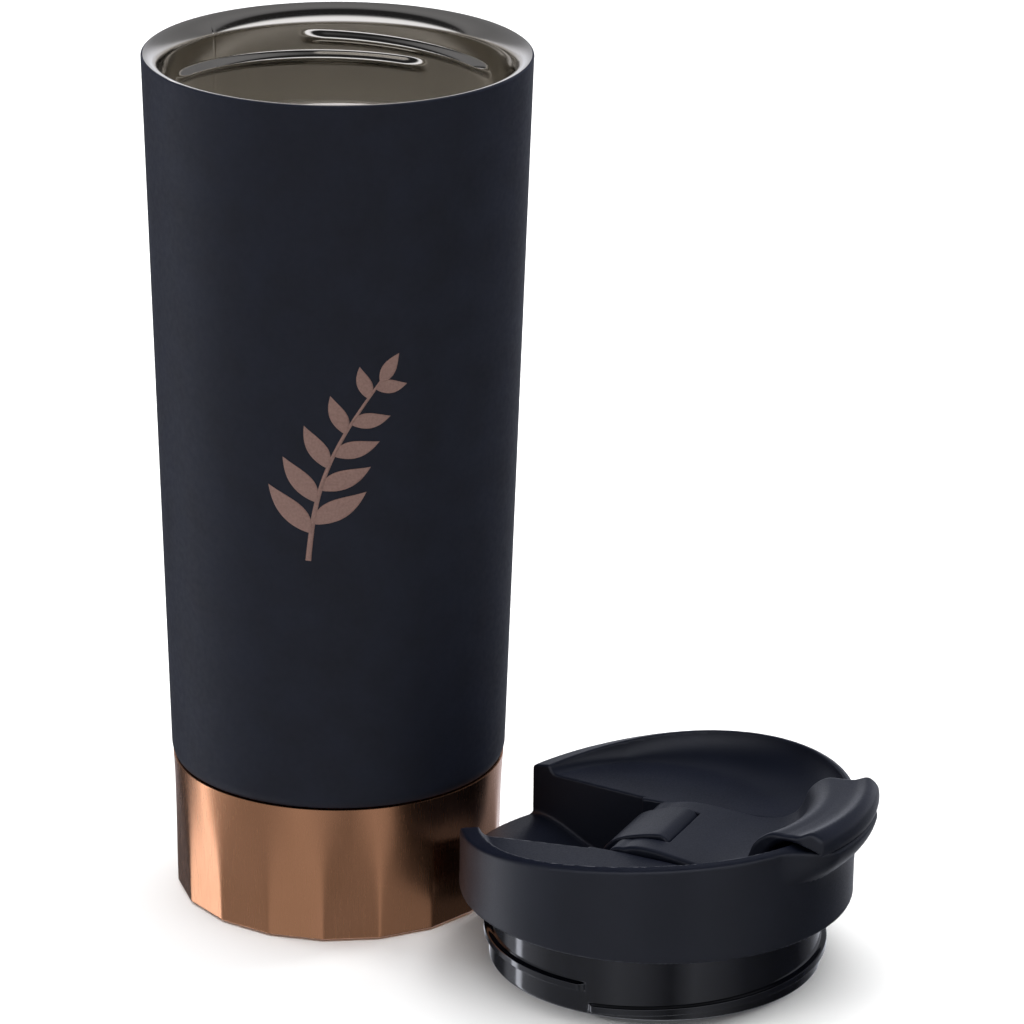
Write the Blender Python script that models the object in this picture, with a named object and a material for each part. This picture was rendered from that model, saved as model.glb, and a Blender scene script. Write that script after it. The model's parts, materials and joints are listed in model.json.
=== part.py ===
"""Insulated travel tumbler with a screw lid and a flip lever.

The tumbler stands upright on the floor plane z = 0, centred on the world Z axis.  Its lid has been
taken off and stands beside it on the same floor.  Sizes below are in millimetres and are turned into
metres when a mesh is made.  Lid parts are drawn in the lid's own frame: +u points at the thumb tab,
+v is to its left seen from above, and z = 0 is the lower edge of the lid's skirt.
"""
import math

import bmesh
import bpy
from mathutils import Matrix, Vector

MM = 0.001
GAP = 0.3                    # clearance between neighbouring pieces
ROUND = 60                   # straight sides that stand for a full circle

# Tumbler
HEIGHT = 193.7               # floor to the crown of the lip
RIM_RADIUS = 42.5            # outer wall at the top
SEAM_HEIGHT = 32.2           # where the painted wall meets the copper base
SEAM_RADIUS = 37.4
SHEET = 0.6                  # thickness of the steel sheet
VACUUM_GAP = 3.8             # outer wall's outside to the liner's outside
MOUTH_RADIUS = 38.3          # inside the threaded neck
NECK_DEPTH = 24.0            # lip to the bottom of the threaded neck
LIP_RADIUS = 4.2             # the polished lip curves down into the mouth on this radius
LIP_END = 102.0              # degrees of arc angle where the lip meets the painted wall
BEAD_RADIUS = 36.95          # inside the rolled thread beads
BEAD_WIDTH = 2.2
UPPER_BEAD = 183.8           # height of each bead's lower end
LOWER_BEAD = 181.3
UPPER_RISE = 3.2             # climb of each bead over its length
LOWER_RISE = 2.1
LINER_FLOOR = 11.6
LINER_CORNER = 6.0
ROLL_HEIGHT = 2.4            # the painted wall rolls in over this height above the seam
ROLL_DEPTH = 0.7
HIDDEN_RADIUS = 34.9         # the wall inside the copper base, if it reached the floor
HIDDEN_TAPER = 1.3           # gained by that wall from the floor to the seam
HIDDEN_END = 4.0             # lower end of that wall
BASE_RADIUS = 36.5           # over the facet corners at the floor
BASE_STEP = 0.2              # the copper base stands back from the wall at the seam
BASE_LIFT = 0.4              # its lower edge above the floor
BASE_SHEET = 1.0
BASE_OPENING = 29.0          # radius of the opening under its middle
FACETS = 18
FACET_TURN = math.radians(-93.6)   # one corner's direction
FOIL_ENDS = (22.0, 160.0)    # heights of the foil's two edges
FOIL_OFFSET = 0.4
FOIL_THICKNESS = 0.3
DISC_RIM = 4.2               # underside of the bottom disc's rim
DISC_DIMPLE = 5.0            # underside of its middle
DISC_THICKNESS = 0.7
GETTER_RADIUS = 4.5
GETTER_OFFSET = 14.0         # from the tumbler's axis
PAD_RADIUS = 26.0
PAD_HEIGHT = 3.2

# Lid
LID_CENTRE = (71.08, -39.22)
LID_TURN = math.radians(-23.74)
SKIRT_HEIGHT = 16.3          # the skirt's lower edge above the floor
SKIRT_RADIUS = 43.3
SKIRT_INNER = 41.1
CORE_RADIUS = 33.7           # the shell's core inside the threaded plug
CORE_BOTTOM = -5.8
SHOULDER = -1.7              # the core widens above this to meet the plug's outside
GROOVE_TOP = 0.3             # roof of the gasket's groove
BOWL_FLOOR = 12.8
BOWL_CENTRE = -8.0           # the bowl's floor is a circle set back from the tab
BOWL_RADIUS = 34.5
CHANNEL_HALF = 14.8          # half width of the open channel where it meets the hinge
CHANNEL_TAPER = 0.15         # widening for each millimetre towards the rim
HOLLOW_RADIUS = 31.5         # air spaces under the bowl's floor
HOLLOW_ROOF = 10.9
ABOVE_ALL = 30.0             # cutters reach this high
FLARE = 5.1                  # the drinking lip's outward flare
PLUG_RADIUS = 36.6
RIDGE_RADIUS = 37.8
PLUG_WALL = 2.2
PLUG_FLOOR = 1.8
RIDGE_WIDTH = 1.9
RIDGE_START = math.radians(-91.0)
RIDGE_LOW = -14.6            # centre of the thread's lower end
RIDGE_RISE = 4.6
FOAM_LOW = -13.4
FOAM_HIGH = -6.2
GASKET_DROP = 0.8

# Lever
HINGE_U = -3.0
HINGE_Z = 10.2
BARREL_RADIUS = 3.2
BARREL_HALF = 14.2
PIN_RADIUS = 1.2
CLIP_HALF = 8.5
WINDOW_RADIUS = 10.35        # the lever's window clears the clip's nose about the hinge
DRINK_U = 22.0
DRINK_RADIUS = 5.0
VENT_U = 12.0
VENT_RADIUS = 1.7
DRINK_WALL = 1.3             # wall of the tube round the drinking hole
VENT_WALL = 1.1
TUBE_END = -13.0
SLOT_ROOM = 0.4              # beside the lever in its slot
POCKET_FLOOR = 6.6           # hinge pocket under the lever's root
CLIP_FOOT = 6.95


# ---------------------------------------------------------------- helpers
def clear_scene():
    """Remove every object that the file starts with."""
    for item in list(bpy.data.objects):
        bpy.data.objects.remove(item, do_unlink=True)


def material(name, colour, roughness, metallic):
    """A Principled material with a plain colour."""
    made = bpy.data.materials.new(name)
    made.use_nodes = True
    shader = made.node_tree.nodes["Principled BSDF"]
    shader.inputs["Base Color"].default_value = (*colour, 1.0)
    shader.inputs["Roughness"].default_value = roughness
    shader.inputs["Metallic"].default_value = metallic
    return made


def smooth(x):
    """Smooth step from 0 to 1."""
    x = min(max(x, 0.0), 1.0)
    return x * x * (3.0 - 2.0 * x)


def lid_matrix():
    """Places the lid's own frame in the world."""
    place = Matrix.Translation((LID_CENTRE[0] * MM, LID_CENTRE[1] * MM, SKIRT_HEIGHT * MM))
    return place @ Matrix.Rotation(LID_TURN, 4, "Z")


def add_object(name, verts, faces, look=None):
    """An object from points in millimetres, with its faces turned outwards."""
    mesh = bpy.data.meshes.new(name)
    mesh.from_pydata([tuple(c * MM for c in v) for v in verts], [], faces)
    made = bpy.data.objects.new(name, mesh)
    bpy.context.scene.collection.objects.link(made)
    shape = bmesh.new()
    shape.from_mesh(mesh)
    bmesh.ops.remove_doubles(shape, verts=shape.verts, dist=1e-7)
    bmesh.ops.recalc_face_normals(shape, faces=shape.faces)
    shape.to_mesh(mesh)
    shape.free()
    mesh.shade_smooth()
    mesh.set_sharp_from_angle(angle=math.radians(35.0))
    if look is not None:
        mesh.materials.append(look)
    return made


def turned(name, ring, segments, look=None, closed=False, start=0.0):
    """Sweep ring(angle), a list of (radius, z), about the Z axis from a starting angle.

    An open ring starts and ends on the axis; a closed ring is a tube's whole section.
    """
    verts = []
    faces = []
    count = len(ring(0.0))
    for i in range(segments):
        angle = start + 2.0 * math.pi * i / segments
        for radius, z in ring(angle):
            verts.append((radius * math.cos(angle), radius * math.sin(angle), z))
    for i in range(segments):
        a = i * count
        b = (i + 1) % segments * count
        for j in range(count if closed else count - 1):
            k = (j + 1) % count
            faces.append((a + j, b + j, b + k, a + k))
    return add_object(name, verts, merge_poles(verts, faces), look)


def merge_poles(verts, faces):
    """Drop the repeated corners of faces that touch the axis."""
    kept = []
    seen = {}
    first = []
    for index, point in enumerate(verts):
        first.append(seen.setdefault(tuple(round(c, 6) for c in point), index))
    for face in faces:
        corners = []
        for corner in (first[c] for c in face):
            if corner not in corners:
                corners.append(corner)
        if len(corners) > 2:
            kept.append(corners)
    return kept


def block(name, top, bottom, stations, place, look=None):
    """A solid between two matching lines of (s, z) points, swept over the stations.

    place(s, t) gives the plan position of line distance s at station t.
    """
    verts = []
    faces = []
    n = len(top)
    for t in stations:
        for line in (top, bottom):
            for s, z in line:
                verts.append((*place(s, t), z))
    for j in range(len(stations) - 1):
        a = 2 * n * j
        b = a + 2 * n
        for i in range(n - 1):
            faces.append((a + i, a + i + 1, b + i + 1, b + i))
            faces.append((a + n + i, b + n + i, b + n + i + 1, a + n + i + 1))
        faces.append((a, b, b + n, a + n))
        faces.append((a + n - 1, a + 2 * n - 1, b + 2 * n - 1, b + n - 1))
    last = 2 * n * (len(stations) - 1)
    for i in range(n - 1):
        faces.append((i, n + i, n + i + 1, i + 1))
        faces.append((last + i, last + i + 1, last + n + i + 1, last + n + i))
    return add_object(name, verts, faces, look)


def rod(name, radius, half, segments, look=None):
    """A cylinder along v through the hinge line, in the lid's frame."""
    verts = []
    faces = []
    for i in range(segments):
        angle = 2.0 * math.pi * i / segments
        u = HINGE_U + radius * math.cos(angle)
        z = HINGE_Z + radius * math.sin(angle)
        verts += [(u, -half, z), (u, half, z)]
        k = (i + 1) % segments
        faces.append((2 * i, 2 * k, 2 * k + 1, 2 * i + 1))
    faces.append([2 * i for i in range(segments)])
    faces.append([2 * i + 1 for i in reversed(range(segments))])
    return add_object(name, verts, faces, look)


def post(name, u, v, radius, low, high, segments, look=None):
    """An upright cylinder at (u, v)."""
    made = turned(name, lambda angle: [(0, low), (radius, low), (radius, high), (0, high)],
                  segments, look)
    made.data.transform(Matrix.Translation((u * MM, v * MM, 0)))
    return made


def ridge(name, root, crest, start, sweep, rise, width, steps):
    """A helical ridge from radius root to radius crest, with tapered ends."""
    verts = []
    faces = []
    for i in range(steps + 1):
        part = i / steps
        angle = start + sweep * part
        end = smooth(min(part, 1.0 - part) * steps / 3.0)
        outer = root + (crest - root) * (0.3 + 0.7 * end)
        inner = root - math.copysign(0.5, crest - root)
        z = rise(part)
        half = 0.5 * width
        for radius, dz in ((inner, half), (root, half), (outer, 0.4 * half),
                           (outer, -0.4 * half), (root, -half), (inner, -half)):
            verts.append((radius * math.cos(angle), radius * math.sin(angle), z + dz))
    for i in range(steps):
        a = 6 * i
        b = a + 6
        for j in range(6):
            k = (j + 1) % 6
            faces.append((a + j, a + k, b + k, b + j))
    faces.append(list(range(6)))
    faces.append([6 * steps + j for j in reversed(range(6))])
    return add_object(name, verts, faces)


def combine(target, tool, operation):
    """Join a tool to the target or cut it away, and hide the tool."""
    step = target.modifiers.new(tool.name, "BOOLEAN")
    step.operation = operation
    step.object = tool
    step.solver = "EXACT"
    tool.hide_render = True
    tool.display_type = "WIRE"


def stand(items):
    """Put lid pieces, drawn in the lid's frame, where the lid stands."""
    for item in items:
        item.data.transform(lid_matrix())


def set_origin(item, point):
    """Move an object's origin to a world point without moving its shape."""
    item.data.transform(Matrix.Translation(-point))
    item.location = point


def round_corner(centre, radius, start, end, steps):
    """Points on an arc of (radius, z), angles in degrees."""
    points = []
    for i in range(steps + 1):
        angle = math.radians(start + (end - start) * i / steps)
        points.append((centre[0] + radius * math.cos(angle), centre[1] + radius * math.sin(angle)))
    return points


# ---------------------------------------------------------------- tumbler
def wall_radius(z):
    """Outside of the painted wall, a straight taper."""
    part = (z - SEAM_HEIGHT) / (HEIGHT - SEAM_HEIGHT)
    return SEAM_RADIUS + (RIM_RADIUS - SEAM_RADIUS) * part


def inner_neck_radius(z):
    """Outside of the hidden lower wall that the copper base is pressed onto."""
    return HIDDEN_RADIUS + HIDDEN_TAPER * z / SEAM_HEIGHT


def outer_wall(look):
    """Painted steel wall, rolled in above the seam and running on inside the copper base."""
    top = HEIGHT - GAP
    outside = [(wall_radius(top), top)]
    for share in (1.0, 0.6, 0.25, 0.0):
        z = SEAM_HEIGHT + ROLL_HEIGHT * share
        outside.append((wall_radius(z) - ROLL_DEPTH * (1.0 - share) ** 2, z))
    outside.append((inner_neck_radius(SEAM_HEIGHT), SEAM_HEIGHT - 0.1))
    outside.append((inner_neck_radius(HIDDEN_END), HIDDEN_END))
    inside = [(r - SHEET, z) for r, z in reversed(outside)]
    section = outside + inside
    turned("outer_wall", lambda angle: section, ROUND, look, closed=True)


def liner_radius(z):
    """Outside of the liner below its neck."""
    return wall_radius(z) - VACUUM_GAP


def inner_liner(look):
    """Steel liner with a rolled lip, a threaded neck, a straight taper and a rounded floor."""
    neck = HEIGHT - NECK_DEPTH
    lip_centre = (MOUTH_RADIUS + LIP_RADIUS, HEIGHT - LIP_RADIUS * math.sin(math.radians(LIP_END)))
    corner = LINER_CORNER
    low = LINER_FLOOR + corner
    base = liner_radius(low) - SHEET
    section = [(0.0, LINER_FLOOR)]
    section += round_corner((base - corner, low), corner, -90.0, 0.0, 4)
    section += [(liner_radius(neck) - SHEET, neck), (MOUTH_RADIUS, neck + 2.0)]
    section += round_corner(lip_centre, LIP_RADIUS, 180.0, LIP_END, 7)
    section += round_corner(lip_centre, LIP_RADIUS - SHEET, LIP_END + 3.0, 180.0, 4)
    section += [(MOUTH_RADIUS + SHEET, neck + 1.7), (liner_radius(neck), neck - 0.3)]
    section += round_corner((base - corner, low), corner + SHEET, 0.0, -90.0, 4)
    section += [(0.0, LINER_FLOOR - SHEET)]
    made = turned("inner_liner", lambda angle: section, ROUND, look)
    for name, start, sweep, foot, rise in (
            ("upper_bead", 30.0, 75.0, UPPER_BEAD, UPPER_RISE),
            ("lower_bead", 60.0, 100.0, LOWER_BEAD, LOWER_RISE),
            ("upper_bead_far", 210.0, 75.0, UPPER_BEAD, UPPER_RISE),
            ("lower_bead_far", 240.0, 100.0, LOWER_BEAD, LOWER_RISE)):
        bead = ridge(name, MOUTH_RADIUS, BEAD_RADIUS, math.radians(start), math.radians(sweep),
                     lambda part, foot=foot, rise=rise: foot + rise * part, BEAD_WIDTH, 14)
        combine(made, bead, "UNION")


def radiation_foil(look):
    """Thin copper foil wrapped round the liner inside the vacuum."""
    inside = [(liner_radius(z) + FOIL_OFFSET, z) for z in FOIL_ENDS]
    section = inside + [(r + FOIL_THICKNESS, z) for r, z in reversed(inside)]
    turned("radiation_foil", lambda angle: section, ROUND, look, closed=True)


def base_radius(angle, z):
    """Copper base: an 18-sided outline at the floor that fades to a circle at the seam."""
    step = 2.0 * math.pi / FACETS
    local = (angle - FACET_TURN + 0.5 * step) % step - 0.5 * step
    corner = abs(local)
    flat = BASE_RADIUS * math.cos(0.5 * step) / math.cos(0.5 * step - corner)
    part = z / SEAM_HEIGHT
    taper = (SEAM_RADIUS - BASE_STEP - BASE_RADIUS) * part
    return taper + flat * (1.0 - part ** 3) + BASE_RADIUS * part ** 3


def copper_base(look):
    """Copper-plated cup with cut facets, open at the top and under the middle."""
    top = SEAM_HEIGHT - GAP
    heights = [BASE_LIFT + (top - BASE_LIFT) * share for share in (0.0, 0.24, 0.46, 0.65, 0.81, 1.0)]
    inner = inner_neck_radius(HIDDEN_END) + GAP
    floor = BASE_LIFT + BASE_SHEET

    def section(angle):
        outside = [(base_radius(angle, z), z) for z in heights]
        inside = [(inner_neck_radius(top) + GAP, top), (inner, HIDDEN_END), (inner, floor)]
        return [(BASE_OPENING, BASE_LIFT)] + outside + inside + [(BASE_OPENING, floor)]
    turned("copper_base", section, 4 * FACETS, look, closed=True, start=FACET_TURN)


def outer_bottom(look):
    """Steel disc welded into the wall's lower end, dished up in the middle."""
    rim = inner_neck_radius(HIDDEN_END) - SHEET - GAP
    under = [(0.0, DISC_DIMPLE), (3.4, DISC_DIMPLE), (4.4, DISC_DIMPLE - 0.4),
             (20.0, DISC_RIM), (rim, DISC_RIM)]
    section = under + [(r, z + DISC_THICKNESS) for r, z in reversed(under)]
    turned("outer_bottom", lambda angle: section, 36, look)


def vacuum_seal(look):
    """Drop of sealing glass in the dimple of the bottom disc."""
    high = DISC_DIMPLE - GAP
    section = [(0.0, high - 1.1), (2.0, high - 1.0), (2.8, high - 0.6), (2.8, high - 0.2),
               (2.2, high), (0.0, high)]
    turned("vacuum_seal", lambda angle: section, 20, look)


def getter(look):
    """Gas-absorbing tablet on the vacuum side of the bottom disc."""
    low = DISC_DIMPLE + DISC_THICKNESS
    post("getter_tablet", GETTER_OFFSET, 0.0, GETTER_RADIUS, low, low + 2.0, 24, look)


def base_pad(look):
    """Soft pad that the tumbler stands on; it closes the opening under the copper base."""
    side = PAD_RADIUS + 1.6
    section = [(0.0, 0.0), (PAD_RADIUS, 0.0), (side, 0.6), (side, PAD_HEIGHT), (0.0, PAD_HEIGHT)]
    turned("base_pad", lambda angle: section, 36, look)


# ---------------------------------------------------------------- lid shell
def crest_height(u):
    """The rim rises from the open channel towards the tab."""
    return 20.8 + 0.1217 * u - 0.0017 * u * u


def crest_radius(angle):
    """The crest runs further inside the skirt beside the channel."""
    turn = abs(math.degrees(math.atan2(math.sin(angle), math.cos(angle))))
    return 41.5 - 2.4 * smooth((turn - 95.0) / 58.0)


def flare(angle):
    """How far the drinking lip is flared, 0 to 1."""
    turn = abs(math.degrees(math.atan2(math.sin(angle), math.cos(angle))))
    return 1.0 - smooth((turn - 13.0) / 18.0)


def bowl_edge(angle):
    """Distance from the lid's axis to the edge of the bowl's flat floor."""
    c = BOWL_CENTRE * math.cos(angle)
    return c + math.sqrt(c * c - BOWL_CENTRE ** 2 + BOWL_RADIUS ** 2)


def bowl_wall(part):
    """Hollow curve of the bowl's wall: flat at the floor, steep under the crest."""
    return 1.0 - (1.0 - part ** 2.2) ** 0.62


def shell_section(angle):
    """Half section of the lid's shell at one angle, from the axis under it to the axis above."""
    crest = crest_radius(angle)
    top = crest_height(crest * math.cos(angle))
    lift = flare(angle)
    out = FLARE * lift
    rim = top - 0.6 - 1.5 * lift
    points = [(0.0, CORE_BOTTOM), (CORE_RADIUS, CORE_BOTTOM), (CORE_RADIUS, SHOULDER),
              (PLUG_RADIUS - 0.1, SHOULDER), (PLUG_RADIUS - 0.1, GROOVE_TOP),
              (SKIRT_INNER, GROOVE_TOP), (SKIRT_INNER, 0.0), (SKIRT_RADIUS - 0.3, 0.0),
              (SKIRT_RADIUS, 0.3)]
    for share, part in ((0.5, 0.05), (0.655, 0.16), (0.76, 0.6), (0.85, 0.85), (0.93, 0.97)):
        points.append((SKIRT_RADIUS + out * part, (rim - 0.7) * share))
    points += [(SKIRT_RADIUS + out, rim - 0.7), (SKIRT_RADIUS + out - 0.6, rim)]
    points += [(crest + 0.7, top - 0.15 - 0.5 * lift), (crest, top), (crest - 0.7, top - 0.3)]
    edge = min(bowl_edge(angle), crest - 1.6)
    reach = crest - 0.7 - edge
    for part in (0.93, 0.8, 0.6, 0.35, 0.0):
        height = BOWL_FLOOR + (top - 0.3 - BOWL_FLOOR) * bowl_wall(part)
        points.append((edge + reach * part, height))
    points += [(0.5 * edge, BOWL_FLOOR), (0.0, BOWL_FLOOR)]
    return points


def channel_half(u):
    """Half width of the open channel opposite the tab."""
    return CHANNEL_HALF - CHANNEL_TAPER * (u + 5.84)


def channel_floor(u):
    """The channel's floor falls from the low rim towards the hinge."""
    return 2.2 - 6.0 * smooth((u + 37.0) / 19.0)


def channel_cutter():
    """Wedge that opens the bowl opposite the tab."""
    line = [-50.0, -42.4, -37.0, -33.0, -29.0, -24.0, -18.0, -9.9]
    top = [(u, ABOVE_ALL) for u in line]
    bottom = [(u, channel_floor(u) - (0.6 if u < -43.0 else 0.0)) for u in line]
    return block("channel_cutter", top, bottom, (-1.0, 1.0),
                 lambda u, t: (u, t * channel_half(u)))


def lever_half(s):
    """Half width of the lever at a distance from the lid's axis."""
    return BARREL_HALF + 0.08 * max(s - HINGE_U, 0.0)


def lever_place(s, t, extra=0.0):
    """Plan position on the lever: straight at the hinge, concentric with the rim at the tab."""
    v = t * (lever_half(s) + extra)
    bend = smooth((s - 14.0) / 16.0)
    curved = math.sqrt(max(s * s - v * v, 1.0)) if s > 20.0 else s
    return (s + (curved - s) * bend, v)


LEVER_BOTTOM = [(-3.0, 10.6), (-1.0, 11.0), (2.0, 11.2), (7.0, 11.3), (12.0, 11.1), (20.0, 11.0),
                (26.0, 11.0), (29.5, 11.5), (32.6, 13.4), (34.6, 16.0), (35.8, 18.0), (37.0, 20.1),
                (38.3, 22.0), (39.8, 23.1), (41.6, 23.4), (43.6, 23.2), (46.0, 22.3), (47.9, 21.3),
                (48.3, 21.0)]
LEVER_TOP = [(-3.0, 13.0), (-1.0, 13.9), (2.0, 14.4), (6.0, 14.4), (11.0, 13.9), (17.0, 13.3),
             (23.0, 13.2), (27.5, 13.6), (30.4, 15.2), (31.8, 17.0), (32.6, 19.0), (33.4, 21.2),
             (35.0, 23.2), (37.4, 24.7), (40.5, 24.9), (43.2, 25.2), (45.9, 26.4), (48.0, 25.2),
             (48.7, 22.4)]
STATIONS = [-1.0, -0.93, -0.8, -0.6, -0.3, 0.0, 0.3, 0.6, 0.8, 0.93, 1.0]


def lever_slot_cutter():
    """Room for the lever in the bowl, with the deeper hinge pocket at its root."""
    bottom = [(-10.4, POCKET_FLOOR), (7.3, POCKET_FLOOR), (7.5, 10.65)]
    bottom += [(s + 0.25, z - 0.35) for s, z in LEVER_BOTTOM[4:13]]
    top = [(s, ABOVE_ALL) for s, z in bottom]
    return block("lever_slot_cutter", top, bottom, STATIONS,
                 lambda s, t: lever_place(s, t, SLOT_ROOM))


def hollow_cutter(side):
    """Air space under one side of the bowl's floor, a segment of a circle."""
    outline = []
    for i in range(15):
        angle = math.radians(37.0 + 106.0 * i / 14)
        outline.append((HOLLOW_RADIUS * math.cos(angle), side * HOLLOW_RADIUS * math.sin(angle)))
    count = len(outline)
    verts = [(u, v, z) for z in (CORE_BOTTOM - 1.0, HOLLOW_ROOF) for u, v in outline]
    faces = [list(reversed(range(count))), list(range(count, 2 * count))]
    for i in range(count):
        k = (i + 1) % count
        faces.append((i, k, count + k, count + i))
    return add_object("hollow_cutter", verts, faces)


def lid_shell(look):
    """Moulded upper shell: skirt, raised rim, bowl, open channel and drinking lip."""
    made = turned("lid_shell", shell_section, ROUND, look)
    tools = [channel_cutter(), lever_slot_cutter(), hollow_cutter(1.0), hollow_cutter(-1.0)]
    tubes = [post("drink_tube", DRINK_U, 0.0, DRINK_RADIUS + DRINK_WALL, TUBE_END, 0.0, 32),
             post("vent_tube", VENT_U, 0.0, VENT_RADIUS + VENT_WALL, TUBE_END, 0.0, 20)]
    bores = [post("drink_bore", DRINK_U, 0.0, DRINK_RADIUS, -20.0, 16.0, 32),
             post("vent_bore", VENT_U, 0.0, VENT_RADIUS, -20.0, 16.0, 20)]
    for tool in tubes:
        combine(made, tool, "UNION")
    for tool in tools + bores:
        combine(made, tool, "DIFFERENCE")
    return [made] + tools + tubes + bores


# ---------------------------------------------------------------- other lid pieces
def ridge_rise(part):
    """The plug's thread climbs fast from its start and flattens above it."""
    return RIDGE_LOW + RIDGE_RISE * (1.0 - (1.0 - part) ** 2.6)


def thread_plug(look):
    """Glossy threaded plug under the shell, with a floor pierced for the drink and vent tubes."""
    bottom = -SKIRT_HEIGHT
    top = SHOULDER - GAP
    inner = PLUG_RADIUS - PLUG_WALL
    section = [(0.0, bottom), (PLUG_RADIUS - 0.6, bottom), (PLUG_RADIUS - 0.15, bottom + 0.15),
               (PLUG_RADIUS, bottom + 0.6), (PLUG_RADIUS, top), (inner, top),
               (inner, bottom + PLUG_FLOOR), (0.0, bottom + PLUG_FLOOR)]
    made = turned("thread_plug", lambda angle: section, ROUND, look)
    thread = ridge("thread_ridge", PLUG_RADIUS, RIDGE_RADIUS, RIDGE_START, 2.0 * math.pi,
                   ridge_rise, RIDGE_WIDTH, 60)
    combine(made, thread, "UNION")
    bores = [post("plug_drink_bore", DRINK_U, 0.0, DRINK_RADIUS, -20.0, -10.0, 32),
             post("plug_vent_bore", VENT_U, 0.0, VENT_RADIUS, -20.0, -10.0, 20)]
    for tool in bores:
        combine(made, tool, "DIFFERENCE")
    return [made, thread] + bores


def foam_disc(look):
    """Insulating foam between the shell's core and the plug's floor."""
    outer = PLUG_RADIUS - PLUG_WALL - GAP
    section = [(0.0, FOAM_LOW), (outer, FOAM_LOW), (outer, FOAM_HIGH), (0.0, FOAM_HIGH)]
    made = turned("foam_disc", lambda angle: section, 36, look)
    drink = DRINK_RADIUS + DRINK_WALL + 0.4
    vent = VENT_RADIUS + VENT_WALL + 0.4
    bores = [post("foam_drink_bore", DRINK_U, 0.0, drink, -16.0, -4.0, 32),
             post("foam_vent_bore", VENT_U, 0.0, vent, -16.0, -4.0, 20)]
    for tool in bores:
        combine(made, tool, "DIFFERENCE")
    return [made] + bores


def rim_gasket(look):
    """Silicone ring that seals on the tumbler's lip."""
    inner = PLUG_RADIUS + 0.4
    outer = SKIRT_INNER - GAP
    section = [(inner, 0.0), (inner, -GASKET_DROP), (outer - 0.6, -GASKET_DROP), (outer, 0.0)]
    return turned("rim_gasket", lambda angle: section, ROUND, look, closed=True)


def hinge_clip(look):
    """Snap-in clip that holds the hinge pin down; its rounded nose stands in the lever's window."""
    top = [(-9.5, 9.0), (-9.1, 10.0), (-8.3, 11.0), (-6.9, 12.3), (-5.0, 13.3), (-3.0, 14.0),
           (0.0, 14.8), (2.6, 15.3), (4.0, 15.4), (5.0, 15.1), (5.8, 14.4), (6.3, 13.5),
           (6.8, 12.0)]
    bottom = [(s, CLIP_FOOT) for s, z in top]
    made = block("hinge_clip", top, bottom, (-CLIP_HALF, 0.0, CLIP_HALF), lambda s, t: (s, t), look)
    bore = rod("clip_bore", PIN_RADIUS + GAP, CLIP_HALF + 2.0, 24)
    combine(made, bore, "DIFFERENCE")
    return [made, bore]


def hinge_pin(look):
    """Steel pin through the clip and both of the lever's ears."""
    return rod("hinge_pin", PIN_RADIUS, BARREL_HALF - 0.6, 24, look)


def flip_lever(look):
    """Lever with hinge ears, an arched plate and a saddle-shaped thumb tab over the rim."""
    def place(s, t):
        corner = 2.0 * smooth((abs(t) - 0.78) / 0.22) * smooth((s - 44.0) / 4.0)
        return lever_place(s - corner, t * lever_half(s) / lever_half(s - corner))
    made = block("flip_lever", LEVER_TOP, LEVER_BOTTOM, STATIONS, place, look)
    barrel = rod("lever_barrel", BARREL_RADIUS, BARREL_HALF, 32)
    combine(made, barrel, "UNION")
    window = rod("window_cutter", WINDOW_RADIUS, CLIP_HALF + GAP, 48)
    combine(made, window, "DIFFERENCE")
    bore = rod("lever_bore", PIN_RADIUS + GAP, BARREL_HALF + 2.0, 24)
    combine(made, bore, "DIFFERENCE")
    return [made, barrel, window, bore]


def spout_seal(look):
    """Soft stopper under the lever that closes the drinking hole."""
    section = [(0.0, 6.6), (3.4, 6.6), (4.55, 7.8), (4.55, 10.65), (0.0, 10.65)]
    made = turned("spout_seal", lambda angle: section, 32, look)
    made.data.transform(Matrix.Translation((DRINK_U * MM, 0, 0)))
    return made


def vent_seal(look):
    """Small soft stopper under the lever that closes the vent."""
    section = [(0.0, 9.0), (0.9, 9.0), (1.35, 9.6), (1.35, 10.7), (0.0, 10.7)]
    made = turned("vent_seal", lambda angle: section, 20, look)
    made.data.transform(Matrix.Translation((VENT_U * MM, 0, 0)))
    return made


# ---------------------------------------------------------------- assembly
def build_tumbler(looks):
    outer_wall(looks["paint"])
    inner_liner(looks["steel"])
    radiation_foil(looks["foil"])
    copper_base(looks["copper"])
    outer_bottom(looks["steel"])
    vacuum_seal(looks["glass"])
    getter(looks["getter"])
    base_pad(looks["pad"])


def build_lid(looks):
    fixed = lid_shell(looks["shell"]) + thread_plug(looks["plug"]) + foam_disc(looks["foam"])
    fixed += hinge_clip(looks["lever"])
    fixed += [hinge_pin(looks["pin"]), rim_gasket(looks["silicone"])]
    moving = flip_lever(looks["lever"])
    moving += [spout_seal(looks["silicone"]), vent_seal(looks["silicone"])]
    stand(fixed + moving)
    centre = lid_matrix() @ Vector((0.0, 0.0, 0.0))
    hinge = lid_matrix() @ Vector((HINGE_U * MM, 0.0, HINGE_Z * MM))
    for item in fixed:
        set_origin(item, centre)
    for item in moving:
        set_origin(item, hinge)


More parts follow.
